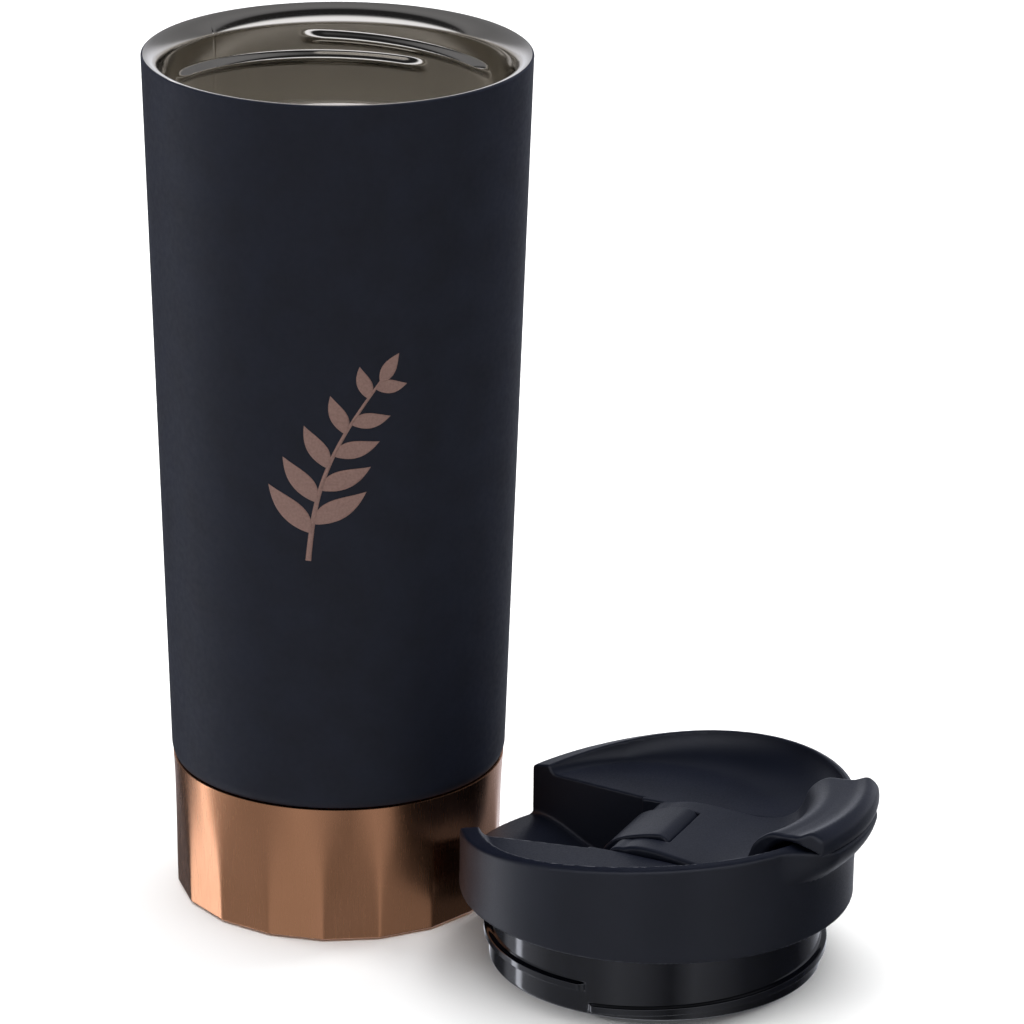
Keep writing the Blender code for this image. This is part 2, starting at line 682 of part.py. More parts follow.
def main():
    clear_scene()
    looks = {
        "paint": material("navy_black_powder_coat", (0.017, 0.018, 0.027), 0.55, 0.0),
        "steel": material("brushed_steel", (0.55, 0.53, 0.50), 0.30, 1.0),
        "foil": material("copper_foil", (0.80, 0.42, 0.28), 0.25, 1.0),
        "copper": material("copper_plating", (0.66, 0.37, 0.22), 0.30, 1.0),
        "glass": material("sealing_glass", (0.10, 0.12, 0.11), 0.20, 0.0),
        "getter": material("getter_metal", (0.20, 0.20, 0.20), 0.70, 1.0),
        "pad": material("base_pad_silicone", (0.02, 0.02, 0.022), 0.80, 0.0),
        "shell": material("matte_black_plastic", (0.012, 0.013, 0.017), 0.45, 0.0),
        "lever": material("matte_black_lever_plastic", (0.013, 0.014, 0.018), 0.42, 0.0),
        "plug": material("gloss_black_plastic", (0.008, 0.008, 0.010), 0.12, 0.0),
        "foam": material("white_foam", (0.80, 0.80, 0.78), 0.90, 0.0),
        "pin": material("pin_steel", (0.60, 0.60, 0.60), 0.25, 1.0),
        "silicone": material("black_silicone", (0.02, 0.02, 0.02), 0.60, 0.0),
    }
    build_tumbler(looks)
    build_lid(looks)


main()
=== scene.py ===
"""Looks of an insulated tumbler that stands beside its screw lid with a flip lever.

Shapes are worked out in millimetres as whole numpy arrays and turned into metres when a mesh is made.
Lid pieces are drawn in the lid's own frame: +u points at the thumb tab, +v is to its left seen from
above, and z = 0 is the lower edge of the lid's skirt.
"""

import json
import math

import bmesh
import bpy
import numpy as np
from mathutils import Matrix, Vector


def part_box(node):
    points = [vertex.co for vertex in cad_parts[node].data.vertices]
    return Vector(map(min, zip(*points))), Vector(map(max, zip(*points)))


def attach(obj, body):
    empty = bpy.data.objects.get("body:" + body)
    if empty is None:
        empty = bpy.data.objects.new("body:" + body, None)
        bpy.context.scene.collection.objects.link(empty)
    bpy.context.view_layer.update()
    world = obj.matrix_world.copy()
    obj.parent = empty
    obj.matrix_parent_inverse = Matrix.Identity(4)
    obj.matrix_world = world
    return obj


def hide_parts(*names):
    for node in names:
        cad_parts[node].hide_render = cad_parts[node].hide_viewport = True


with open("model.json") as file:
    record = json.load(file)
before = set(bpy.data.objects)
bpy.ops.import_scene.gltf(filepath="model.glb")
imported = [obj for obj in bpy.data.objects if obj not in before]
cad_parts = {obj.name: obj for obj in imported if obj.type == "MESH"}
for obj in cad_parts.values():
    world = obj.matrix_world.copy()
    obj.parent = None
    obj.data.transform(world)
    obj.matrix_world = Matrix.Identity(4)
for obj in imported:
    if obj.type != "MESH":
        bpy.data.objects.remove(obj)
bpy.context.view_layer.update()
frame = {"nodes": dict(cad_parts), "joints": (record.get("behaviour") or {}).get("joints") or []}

MM = 0.001
COLUMNS = 360                # straight sides that stand for a full circle
LINER_COLUMNS = 480          # the liner and plug have sloping detail, so they take more


def top_of(node):
    """Height of a CAD node's highest point, in millimetres."""
    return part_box(node)[1].z / MM


def reach_of(node):
    """Largest distance of an upright round CAD node's side from its own middle, in millimetres."""
    low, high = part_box(node)
    return 0.5 * (high.x - low.x) / MM


# Tumbler, from the CAD nodes
HEIGHT = top_of("inner_liner")
RIM_RADIUS = reach_of("outer_wall")
SEAM_HEIGHT = top_of("copper_base") + 0.3
SEAM_RADIUS = 37.4
SEAM_ROLL = 0.7              # how far the wall rolls in just above the copper
SEAM_ROLL_HEIGHT = 2.4
WALL_SHEET = 1.2
WALL_DROP = 0.12             # the wall ends this far under the liner's lip
WALL_ROUND = 0.35            # rounding of the wall's upper edge
BASE_RADIUS = 36.5           # over the facet corners at the floor
BASE_EDGE = 0.4              # the copper stops this far above the floor
BASE_ROUND = 0.4             # rounding of its lower edge
BASE_BORE = 35.4             # inside radius just above the base's floor
BASE_FLANGE = 29.0           # radius of the opening under the base
BASE_SHEET = 1.0
FACETS = 18
FACET_TURN = math.radians(-93.6)
MOUTH_RADIUS = 38.3
LIP_RADIUS = 4.2
LIP_END = math.radians(96.0)
NECK_FOOT = HEIGHT - 24.0    # height where the threaded neck ends
BEAD_RISE = 1.30             # how far a rolled bead stands into the mouth
BEAD_HALF = 1.7
BEADS = ((30.0, 75.0, 183.8, 3.2),     # start and sweep in degrees, height of the low end, climb
         (60.0, 100.0, 181.3, 2.1),
         (210.0, 75.0, 183.8, 3.2),
         (240.0, 100.0, 181.3, 2.1))
VACUUM_GAP = 3.8
SHEET = 0.6
LINER_FLOOR = 11.6
LINER_CORNER = 6.0           # rounding between the liner's floor and side
PAD_RADIUS = reach_of("base_pad")
PAD_ROUND = 1.6
PAD_TOP = 3.2
WELD_ANGLE = math.radians(137.0)       # the liner's upright weld

# Lid, from the joints and the CAD nodes
JOINTS = {joint["name"]: joint for joint in frame["joints"]}
LID_PLACE = Vector(JOINTS["lid_turn"]["pos_m"])
HINGE_AXIS = JOINTS["lever_flip"]["axis"]
LID_TURN = math.atan2(HINGE_AXIS[0], -HINGE_AXIS[1])
LID_MATRIX = Matrix.Translation(LID_PLACE) @ Matrix.Rotation(LID_TURN, 4, "Z")
SKIRT_HEIGHT = LID_PLACE.z / MM
SKIRT_RADIUS = 43.3
SKIRT_INNER = 41.1
CORE_RADIUS = 33.7
CORE_BOTTOM = -5.8
SHOULDER = -1.7              # the core widens above this to meet the plug's outside
BOWL_FLOOR = 12.8
BOWL_CENTRE = -8.0
BOWL_RADIUS = 34.5
BOWL_ACROSS = 2.2            # powers of the curve that the bowl's wall follows
BOWL_DOWN = 1.613
FLARE = 5.1
PLUG_RADIUS = 36.6
PLUG_TOP = -2.0
PLUG_BOTTOM = -SKIRT_HEIGHT
PLUG_WALL = 2.2
PLUG_FLOOR = 1.8
RIDGE_RISE = 1.2
RIDGE_HALF = 1.1
RIDGE_SLOPE = 0.4
RIDGE_LOW = -14.6
RIDGE_CLIMB = 4.6
RIDGE_START = math.radians(-91.0)
RIDGE_FADE = 3.0             # degrees over which the ridge's ends fade
GASKET_DROP = 0.8
HINGE_U = -3.0
HINGE_Z = 10.2
BARREL_RADIUS = 3.2
BARREL_HALF = 14.2
PIN_RADIUS = 1.2
CLIP_HALF = 8.5
WINDOW_RADIUS = 10.35
DRINK_U = 22.0
DRINK_RADIUS = 5.0
VENT_U = 12.0
VENT_RADIUS = 1.7
TUBE_WALL = 1.2              # of the tubes that carry both holes down inside the plug
TUBE_END = -13.0             # their lower end, above the plug's floor
PIN_CHAMFER = 0.2
DRINK_STOPPER = (4.5, 6.6, 10.65, 1.6)     # radius, lower end, upper end, rounding
VENT_STOPPER = (1.35, 9.0, 10.7, 0.5)


# ---------------------------------------------------------------- mesh making
def smooth(x):
    """Smooth step from 0 to 1: 3x^2 - 2x^3 with x held between 0 and 1."""
    x = np.clip(x, 0.0, 1.0)
    return x * x * (3.0 - 2.0 * x)


def piece(name, shape, place, body, node, look):
    """A shown piece, put in the row frame by a matrix; its shape is points in mm, faces and normals."""
    points, faces, *given = shape
    turn = np.array(place)[:3, :3]
    shift = np.array(place)[:3, 3]
    mesh = bpy.data.meshes.new(name)
    mesh.from_pydata((points * MM) @ turn.T + shift, [], faces)
    mesh.validate()
    made = bpy.data.objects.new(name, mesh)
    bpy.context.scene.collection.objects.link(made)
    mesh.shade_smooth()
    if given:
        mesh.normals_split_custom_set_from_vertices(given[0] @ turn.T)
    else:
        turn_outwards(mesh)
        mesh.set_sharp_from_angle(angle=math.radians(50.0))
    mesh.materials.append(look)
    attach(made, body)
    if node is not None:
        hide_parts(node)
    return made


def turn_outwards(mesh):
    """Merges a surface's poles and seams and turns its faces outwards."""
    shape = bmesh.new()
    shape.from_mesh(mesh)
    bmesh.ops.remove_doubles(shape, verts=shape.verts, dist=2e-7)
    bmesh.ops.recalc_face_normals(shape, faces=shape.faces)
    shape.to_mesh(mesh)
    shape.free()


def turned(radius, height, closed):
    """Points and quads of a section swept about the Z axis.

    radius and height are arrays of columns by section points; column i stands at 360 i / columns
    degrees.  A closed section joins its last point to its first; an open one ends on the axis.
    """
    columns, count = radius.shape
    angle = 2.0 * math.pi * np.arange(columns)[:, None] / columns
    points = np.stack([radius * np.cos(angle), radius * np.sin(angle), height], axis=-1).reshape(-1, 3)
    rows = np.arange(count if closed else count - 1)
    here = np.arange(columns)[:, None] * count
    there = (np.arange(columns)[:, None] + 1) % columns * count
    up = (rows + 1) % count
    quads = np.stack([here + rows, there + rows, there + up, here + up], axis=-1).reshape(-1, 4)
    return points, quads.tolist()


def resample(points, spacing):
    """A smooth curve through outline points, cut into equal steps of about the spacing.

    Between two points it is the cubic whose slope at each is half the step between its neighbours.
    """
    given = np.array(points, float)
    before = np.vstack([2 * given[:1] - given[1:2], given[:-1]])
    after = np.vstack([given[1:], 2 * given[-1:] - given[-2:-1]])
    slope = 0.5 * (after - before)
    t = np.linspace(0.0, 1.0, 24, endpoint=False)[None, :, None]
    p0, p1 = given[:-1, None], given[1:, None]
    m0, m1 = slope[:-1, None], slope[1:, None]
    fine = ((2 * t**3 - 3 * t**2 + 1) * p0 + (t**3 - 2 * t**2 + t) * m0
            + (3 * t**2 - 2 * t**3) * p1 + (t**3 - t**2) * m1).reshape(-1, given.shape[1])
    fine = np.vstack([fine, given[-1:]])
    run = np.concatenate([[0.0], np.cumsum(np.linalg.norm(np.diff(fine, axis=0), axis=1))])
    even = np.linspace(0.0, run[-1], max(int(run[-1] / spacing), 2) + 1)
    return np.stack([np.interp(even, run, fine[:, c]) for c in range(given.shape[1])], axis=1)


def arc(centre, radius, start, end, count):
    """Points of a circle's arc as (radius, height), angles in radians."""
    angle = np.linspace(start, end, count)
    return np.stack([centre[0] + radius * np.cos(angle), centre[1] + radius * np.sin(angle)], axis=1)


def line(start, end, count):
    """Points from start to end, without the end."""
    part = np.linspace(0.0, 1.0, count, endpoint=False)[:, None]
    return np.array(start) * (1 - part) + np.array(end) * part


# ---------------------------------------------------------------- moulded solids
def meet(a, b, blend):
    """Larger of two distances, rounded where they are within the blend of each other.

    It is max(a, b) + blend h^2 / 4, with h = 1 - |a - b| / blend held at 0 or more.
    """
    near = np.maximum(blend - np.abs(a - b), 0.0) / blend
    return np.maximum(a, b) + near * near * blend * 0.25


def join(a, b, blend):
    """Smaller of two distances, rounded the same way: two solids run into each other."""
    return -meet(-a, -b, blend)


def cut(a, b, blend):
    """What is left of solid a outside solid b."""
    return meet(a, -b, blend)


def outline_distance(corners, step=0.1):
    """Signed distance to a closed outline in the plane, negative inside, read from a fine table.

    The table holds the least distance to any of the outline's edges; its sign comes from how often a
    ray along +s crosses the outline.
    """
    start = np.array(corners, float)
    run = np.roll(start, -1, axis=0) - start
    low = start.min(axis=0) - 8.0
    size = np.ceil((start.max(axis=0) + 8.0 - low) / step).astype(int)
    s = low[0] + step * np.arange(size[0])
    z = low[1] + step * np.arange(size[1])
    grid = np.stack(np.meshgrid(s, z, indexing="ij"), axis=-1)
    least = np.full(grid.shape[:2], 1e9)
    crossings = np.zeros(grid.shape[:2], int)
    for a, d in zip(start, run):
        away = grid - a
        part = np.clip((away @ d) / max(d @ d, 1e-12), 0.0, 1.0)
        least = np.minimum(least, np.hypot(away[..., 0] - part * d[0], away[..., 1] - part * d[1]))
        if d[1] != 0.0:
            level = a[0] + away[..., 1] / d[1] * d[0]
            crossings += ((away[..., 1] >= 0) != (away[..., 1] >= d[1])) & (level > grid[..., 0])
    table = np.where(crossings % 2 == 1, -least, least)

    def distance(s, z):
        i = np.clip((s - low[0]) / step, 0, size[0] - 1.001)
        j = np.clip((z - low[1]) / step, 0, size[1] - 1.001)
        i0, j0 = i.astype(int), j.astype(int)
        fi, fj = i - i0, j - j0
        return ((table[i0, j0] * (1 - fj) + table[i0, j0 + 1] * fj) * (1 - fi)
                + (table[i0 + 1, j0] * (1 - fj) + table[i0 + 1, j0 + 1] * fj) * fi)
    return distance


def slope_of(field, points, step=0.04):
    """Gradient of a field at points, by central differences."""
    columns = []
    for axis in range(3):
        shift = np.zeros(3)
        shift[axis] = step
        ahead = field(*(points + shift).T)
        behind = field(*(points - shift).T)
        columns.append((ahead - behind) / (2.0 * step))
    return np.stack(columns, axis=1)


def moulded(field, low, high, cell):
    """Points, quads and normals of the surface where a field of (u, v, z) is zero.

    Space is cut into cubes.  Each cube that the surface passes through gets one point, the mean of
    where the surface crosses its edges.  The four cubes round each crossed edge make one quad.  The
    points are then moved down the field's slope until they lie on the surface.
    """
    axes = [np.arange(a, b + cell, cell) for a, b in zip(low, high)]
    value = field(*np.meshgrid(*axes, indexing="ij"))
    shape = np.array(value.shape) - 1
    total = np.zeros((shape.prod(), 3))
    count = np.zeros(shape.prod())
    quads = []
    for axis in range(3):
        first = np.take(value, range(shape[axis]), axis)
        second = np.take(value, range(1, shape[axis] + 1), axis)
        corner = np.array(np.nonzero((first < 0) != (second < 0)))
        a = first[tuple(corner)]
        b = second[tuple(corner)]
        spot = np.stack([axes[k][corner[k]] for k in range(3)], axis=1)
        spot[:, axis] += cell * a / (a - b)
        ring = []
        for du, dv in ((0, 0), (-1, 0), (-1, -1), (0, -1)):
            cube = corner.copy()
            cube[(axis + 1) % 3] += du
            cube[(axis + 2) % 3] += dv
            ring.append(np.ravel_multi_index(cube, shape))
            np.add.at(total, ring[-1], spot)
            np.add.at(count, ring[-1], 1)
        ring = np.stack(ring, axis=1)
        quads.append(np.where((a < 0)[:, None], ring, ring[:, ::-1]))
    used = count > 0
    number = np.cumsum(used) - 1
    points = total[used] / count[used, None]
    for _ in range(4):
        slope = slope_of(field, points)
        step = field(*points.T)[:, None] * slope / np.maximum((slope**2).sum(axis=1), 0.05)[:, None]
        points -= np.clip(step, -0.4 * cell, 0.4 * cell)
    slope = slope_of(field, points)
    normals = slope / np.linalg.norm(slope, axis=1)[:, None]
    return points, number[np.vstack(quads)].tolist(), normals


# ---------------------------------------------------------------- tumbler shapes
def wall_radius(z):
    """Outside of the painted wall, a straight taper from the seam to the rim."""
    return SEAM_RADIUS + (RIM_RADIUS - SEAM_RADIUS) * (z - SEAM_HEIGHT) / (HEIGHT - SEAM_HEIGHT)


def even_section(points, columns=COLUMNS):
    """The same section at every column, as radius and height arrays."""
    points = np.vstack(points)
    return np.tile(points[:, 0], (columns, 1)), np.tile(points[:, 1], (columns, 1))


def wall_surface():
    """Tube whose outer side tapers and rolls in at the seam.

    The roll is SEAM_ROLL (1 - h / H)^2, where h is the height over the seam and H is SEAM_ROLL_HEIGHT.
    """
    top = HEIGHT - WALL_DROP - WALL_ROUND
    roll_top = SEAM_HEIGHT + SEAM_ROLL_HEIGHT
    heights = np.concatenate([np.linspace(top, roll_top + 0.2, 90),
                              np.linspace(roll_top, SEAM_HEIGHT + 0.02, 14)])
    rolled = SEAM_ROLL * np.maximum(1.0 - (heights - SEAM_HEIGHT) / SEAM_ROLL_HEIGHT, 0.0) ** 2
    outside = np.stack([wall_radius(heights) - rolled, heights], axis=1)
    edge = wall_radius(HEIGHT - WALL_DROP) - WALL_ROUND
    crown = arc((edge, top), WALL_ROUND, math.radians(170.0), 0.0, 9)
    inside = np.stack([wall_radius(heights[::-3]) - WALL_SHEET, heights[::-3]], axis=1)
    return turned(*even_section([crown, outside, inside]), closed=True)


def bead_height(angle, start, sweep, low, rise):
    """How much of a bead is there, 0 to 1 with tapered ends, and the height of its middle."""
    part = ((angle - math.radians(start)) % (2.0 * math.pi)) / math.radians(sweep)
    ends = smooth(np.minimum(part, 1.0 - part) * sweep / 9.0)
    return ends, low + rise * part


def liner_surface():
    """Spun liner: rounded lip, neck with rolled beads, straight taper and rounded floor.

    A bead adds BEAD_RISE (1 - d^2)^2 inwards, where d is the height from its middle over BEAD_HALF.
    """
    neck = NECK_FOOT
    lip = (MOUTH_RADIUS + LIP_RADIUS, HEIGHT - LIP_RADIUS * math.sin(LIP_END))
    corner = LINER_CORNER
    low = LINER_FLOOR + corner
    base = wall_radius(low) - VACUUM_GAP - SHEET
    below = wall_radius(neck) - VACUUM_GAP - SHEET
    floor = [line((0.0, LINER_FLOOR), (base - corner, LINER_FLOOR), 8),
             arc((base - corner, low), corner, math.radians(-90.0), 0.0, 12)[:-1],
             line((base, low), (below, neck - 0.6), 14)]
    shoulder = np.stack([below + (MOUTH_RADIUS - below) * smooth(np.linspace(0, 1, 14)),
                         neck - 0.6 + 2.6 * np.linspace(0, 1, 14)], axis=1)
    threaded = line((MOUTH_RADIUS, neck + 2.3), (MOUTH_RADIUS, lip[1] - 0.2), 90)
    rounded = arc(lip, LIP_RADIUS, math.pi, LIP_END, 26)
    under = [arc(lip, LIP_RADIUS - SHEET, LIP_END, math.pi, 8),
             line((MOUTH_RADIUS + SHEET, lip[1] - 0.4), (MOUTH_RADIUS + SHEET, neck + 2.0), 4),
             line((below + SHEET, neck - 0.6), (base + SHEET, low), 4),
             arc((base - corner, low), corner + SHEET, 0.0, math.radians(-90.0), 6),
             np.array([[0.0, LINER_FLOOR - SHEET]])]
    radius, height = even_section(floor + [shoulder, threaded, rounded] + under, LINER_COLUMNS)
    angle = 2.0 * math.pi * np.arange(LINER_COLUMNS)[:, None] / LINER_COLUMNS
    first = sum(len(part) for part in floor) + len(shoulder)
    neck_rows = slice(first, first + len(threaded))
    for bead in BEADS:
        ends, middle = bead_height(angle, *bead)
        away = np.clip(np.abs(height[:, neck_rows] - middle) / BEAD_HALF, 0.0, 1.0)
        radius[:, neck_rows] -= BEAD_RISE * ends * (1.0 - away**2) ** 2
    return turned(radius, height, closed=False)


def facet_radius(angle, z):
    """Copper base: an 18-sided outline at the floor that fades to a circle at the seam.

    A flat side's radius is R cos(h) / cos(h - c), where h is half a facet's angle and c the angle from
    the nearest corner; sqrt(c^2 + e^2) in place of c rounds the corner.
    """
    half = math.pi / FACETS
    part = (z - BASE_EDGE) / (SEAM_HEIGHT - BASE_EDGE)
    local = (angle - FACET_TURN + half) % (2.0 * half) - half
    soft = 0.006 + 0.10 * part**2
    corner = np.sqrt(local**2 + soft**2)
    flat = BASE_RADIUS * math.cos(half) / np.cos(np.minimum(corner, half * 1.15) - half)
    taper = (SEAM_RADIUS - 0.2 - BASE_RADIUS) * part
    fade = part**3
    return (flat + taper) * (1.0 - fade) + (BASE_RADIUS + taper) * fade


def base_surface():
    """Faceted copper cup with a small rounded lower edge, open at the top and under the middle."""
    columns = 40 * FACETS
    angle = 2.0 * math.pi * np.arange(columns)[:, None] / columns
    top = SEAM_HEIGHT - 0.3
    foot = BASE_EDGE + BASE_ROUND
    heights = np.linspace(foot, top - 0.2, 70)[None, :]
    outer = facet_radius(angle, heights)
    turn = np.radians(np.linspace(-90.0, 0.0, 7)[None, :-1])
    edge = facet_radius(angle, foot) - BASE_ROUND + BASE_ROUND * np.cos(turn)
    edge_height = foot + BASE_ROUND * np.sin(turn) + 0.0 * angle
    floor = BASE_EDGE + BASE_SHEET
    inside = np.array([[BASE_BORE + 0.95, top], [BASE_BORE + 0.9, top - 0.4], [BASE_BORE, 4.0],
                       [BASE_BORE, floor], [BASE_FLANGE, floor], [BASE_FLANGE, BASE_EDGE]])
    crown = np.array([[0.0, top - 0.06], [0.08, top]])
    shoulder = facet_radius(angle, top) - crown[None, :, 0]
    radius = np.hstack([edge, outer, shoulder, np.tile(inside[:, 0], (columns, 1))])
    height = np.hstack([edge_height, heights + 0.0 * angle, np.tile(crown[:, 1], (columns, 1)),
                        np.tile(inside[:, 1], (columns, 1))])
    return turned(radius, height, closed=True)


def pad_surface():
    """Soft pad with a rounded rim, flat where it stands."""
    return turned(*even_section([
        np.array([[0.0, 0.0]]), line((8.0, 0.0), (PAD_RADIUS - PAD_ROUND, 0.0), 4),
        arc((PAD_RADIUS - PAD_ROUND, PAD_ROUND), PAD_ROUND, math.radians(-90.0), 0.0, 8),
        np.array([[PAD_RADIUS, PAD_TOP], [0.0, PAD_TOP]])]), closed=False)


# ---------------------------------------------------------------- lid shapes
def crest_height(u):
    """The rim rises from the open channel towards the tab."""
    return 20.8 + 0.1217 * u - 0.0017 * u * u


def crest_radius(turn):
    """The crest runs further inside the skirt beside the channel; turn is degrees from the tab."""
    return 41.5 - 2.4 * smooth((turn - 95.0) / 58.0)


def flare_amount(turn):
    """How far the drinking lip is flared, 0 to 1."""
    return 1.0 - smooth((turn - 13.0) / 18.0)


def skirt_profile(part):
    """Outward run of the flared lip over its height: a slow fourth power, then a rounded lip."""
    low = 0.157 * (np.clip(part, 0.0, 0.652) / 0.652) ** 4
    high = 0.843 * (1.0 - (1.0 - np.clip((part - 0.652) / 0.348, 0.0, 1.0)) ** 2.1)
    return low + high


def channel_half(u):
    """Half width of the open channel opposite the tab."""
    return 14.8 - 0.15 * (u + 5.84)


def channel_floor(u):
    """The channel's floor falls from the low rim towards the hinge."""
    return 2.2 - 6.0 * smooth((u + 37.0) / 19.0)


def lever_half(s):
    """Half width of the lever at a distance from the lid's axis."""
    return BARREL_HALF + 0.08 * np.maximum(s - HINGE_U, 0.0)


def lever_line(u, v):
    """Distance along the lever: u at the hinge, and distance from the lid's axis at the tab.

    The plan position of distance s is u = s + (sqrt(s^2 - v^2) - s) b(s), solved by repetition.
    """
    s = u
    for _ in range(4):
        bend = smooth((s - 14.0) / 16.0)
        curved = np.sqrt(np.maximum(s * s - v * v, 1.0))
        s = u + (s - curved) * bend * (s > 14.0)
    return s


LEVER_TOP = [(-3.0, 13.0), (-1.0, 13.9), (2.0, 14.4), (6.0, 14.4), (11.0, 13.9), (17.0, 13.3),
             (23.0, 13.2), (27.5, 13.6), (30.4, 15.2), (31.8, 17.0), (32.6, 19.0), (33.4, 21.2),
             (35.0, 23.2), (37.4, 24.7), (40.5, 24.9), (43.2, 25.2), (45.9, 26.3), (47.9, 25.0),
             (48.4, 22.6), (48.1, 21.1)]
LEVER_BOTTOM = [(48.1, 21.1), (46.0, 22.3), (43.6, 23.2), (41.6, 23.4), (39.8, 23.1), (38.3, 22.0),
                (37.0, 20.1), (35.8, 18.0), (34.6, 16.0), (32.6, 13.4), (29.5, 11.5), (26.0, 11.0),
                (20.0, 11.0), (12.0, 11.1), (7.0, 11.3), (2.0, 11.2), (-1.0, 11.0), (-3.0, 10.6)]
SLOT_LINE = [(38.6, 21.7), (37.3, 19.8), (36.1, 17.7), (34.9, 15.7), (32.9, 13.1), (29.8, 11.2),
             (26.2, 10.65), (20.0, 10.65), (12.0, 10.7), (7.5, 10.7)]


def barrel_distance(u, v, z, radius, half, blend):
    """Distance to a round rod along v through the hinge line."""
    return meet(np.hypot(u - HINGE_U, z - HINGE_Z) - radius, np.abs(v) - half, blend)


def well_distance(u, v, z, middle, radius):
    """Distance to an upright round hole on the lid's centre line."""
    return np.hypot(u - middle, v) - radius


def shell_field():
    """Field of the moulded lid shell: a skirted body less the bowl, channel, lever slot and holes.

    The bowl's wall runs from its flat floor to the crest where a^BOWL_ACROSS + d^BOWL_DOWN = 1, with a
    the share of the way out to the crest and d the share of the way down from it.
    """
    slot = np.vstack([resample(SLOT_LINE, 0.5), [(7.3, 6.6), (-10.4, 6.6), (-10.4, 40.0), (50.0, 40.0),
                                                 (50.0, 23.6), (41.8, 23.1), (40.1, 22.9)]])
    slot_distance = outline_distance(slot)

    def field(u, v, z):
        r = np.hypot(u, v)
        angle = np.arctan2(v, u)
        turn = np.abs(np.degrees(angle))
        crest = crest_radius(turn)
        top = crest_height(crest * np.cos(angle))
        lift = flare_amount(turn)
        rim = top - 0.6 - 1.5 * lift
        side = r - SKIRT_RADIUS - FLARE * lift * skirt_profile(z / rim)
        fall = (top - rim) / (SKIRT_RADIUS + FLARE * lift - crest)
        band = (z - top + fall * (r - crest)) / np.sqrt(1.0 + fall * fall)
        body = meet(meet(side, band, 0.8), -z, 0.5)

        middle = BOWL_CENTRE * np.cos(angle)
        edge = middle + np.sqrt(middle**2 - BOWL_CENTRE**2 + BOWL_RADIUS**2)
        edge = np.minimum(edge, crest - 2.2)
        width = crest - edge
        rise = top - BOWL_FLOOR
        across = np.clip((r - edge) / width, 0.0, 1.5)
        down = np.clip((top - z) / rise, 0.0, 1.6)
        steep = np.hypot(BOWL_ACROSS * across ** (BOWL_ACROSS - 1.0) / width,
                         BOWL_DOWN * down ** (BOWL_DOWN - 1.0) / rise)
        bowl = (across**BOWL_ACROSS + down**BOWL_DOWN - 1.0) / np.maximum(steep, 0.1)
        body = cut(body, bowl, 0.5)

        core = meet(r - CORE_RADIUS, np.maximum(CORE_BOTTOM - z, z - 6.0), 0.5)
        core = np.minimum(core, np.maximum(r - PLUG_RADIUS + 0.1, np.maximum(SHOULDER - z, z - 6.0)))
        body = np.minimum(body, core)
        groove = np.maximum(np.maximum(r - SKIRT_INNER, PLUG_RADIUS - 0.1 - r), z - 0.3)
        body = cut(body, groove, 0.4)

        channel = meet(np.abs(v) - channel_half(u), (channel_floor(u) - z) * 0.93, 1.2)
        channel = np.maximum(channel, u + 9.9)
        body = cut(body, channel, 0.55)
        lever = meet(slot_distance(lever_line(u, v), z), np.abs(v) - lever_half(u) - 0.4, 0.5)
        body = cut(body, lever, 0.5)
        for u0, radius in ((DRINK_U, DRINK_RADIUS), (VENT_U, VENT_RADIUS)):
            tube = np.maximum(well_distance(u, v, z, u0, radius + TUBE_WALL),
                              np.maximum(TUBE_END - z, z - 2.0))
            body = np.minimum(body, tube)
        for u0, radius in ((DRINK_U, DRINK_RADIUS), (VENT_U, VENT_RADIUS)):
            body = cut(body, well_distance(u, v, z, u0, radius), 0.5)
        return body
    return field


def lever_field():
    """Field of the flip lever: a bent plate with a saddle-shaped tab, hinge ears and a clip window."""
    plate = np.vstack([resample(LEVER_TOP, 0.4), resample(LEVER_BOTTOM, 0.4)[1:-1]])
    plate_distance = outline_distance(plate)

    def field(u, v, z):
        s = lever_line(u, v)
        out = smooth((s - 44.0) / 4.0)
        side = np.abs(v) - lever_half(s) + 0.8 * out * smooth((np.abs(v) - 13.0) / 4.0)
        body = meet(plate_distance(s, z), side, 1.1)
        body = join(body, barrel_distance(u, v, z, BARREL_RADIUS, BARREL_HALF, 0.7), 0.6)
        body = cut(body, barrel_distance(u, v, z, WINDOW_RADIUS, CLIP_HALF + 0.3, 0.3), 0.35)
        return cut(body, barrel_distance(u, v, z, PIN_RADIUS + 0.3, BARREL_HALF + 3.0, 0.2), 0.2)
    return field


CLIP_TOP = [(-9.5, 9.0), (-9.1, 10.0), (-8.3, 11.0), (-6.9, 12.3), (-5.0, 13.3), (-3.0, 14.0),
            (0.0, 14.8), (2.6, 15.3), (4.0, 15.4), (5.0, 15.1), (5.8, 14.4), (6.3, 13.5), (6.8, 12.0)]


def clip_field():
    """Field of the snap-in clip: an arched tongue with a rounded nose, pierced for the hinge pin."""
    tongue = np.vstack([resample(CLIP_TOP, 0.3), [(6.8, 7.0), (-9.5, 7.0)]])
    tongue_distance = outline_distance(tongue, 0.06)

    def field(u, v, z):
        body = meet(tongue_distance(u, z), np.abs(v) - CLIP_HALF, 0.6)
        return cut(body, barrel_distance(u, v, z, PIN_RADIUS + 0.3, 20.0, 0.2), 0.2)
    return field


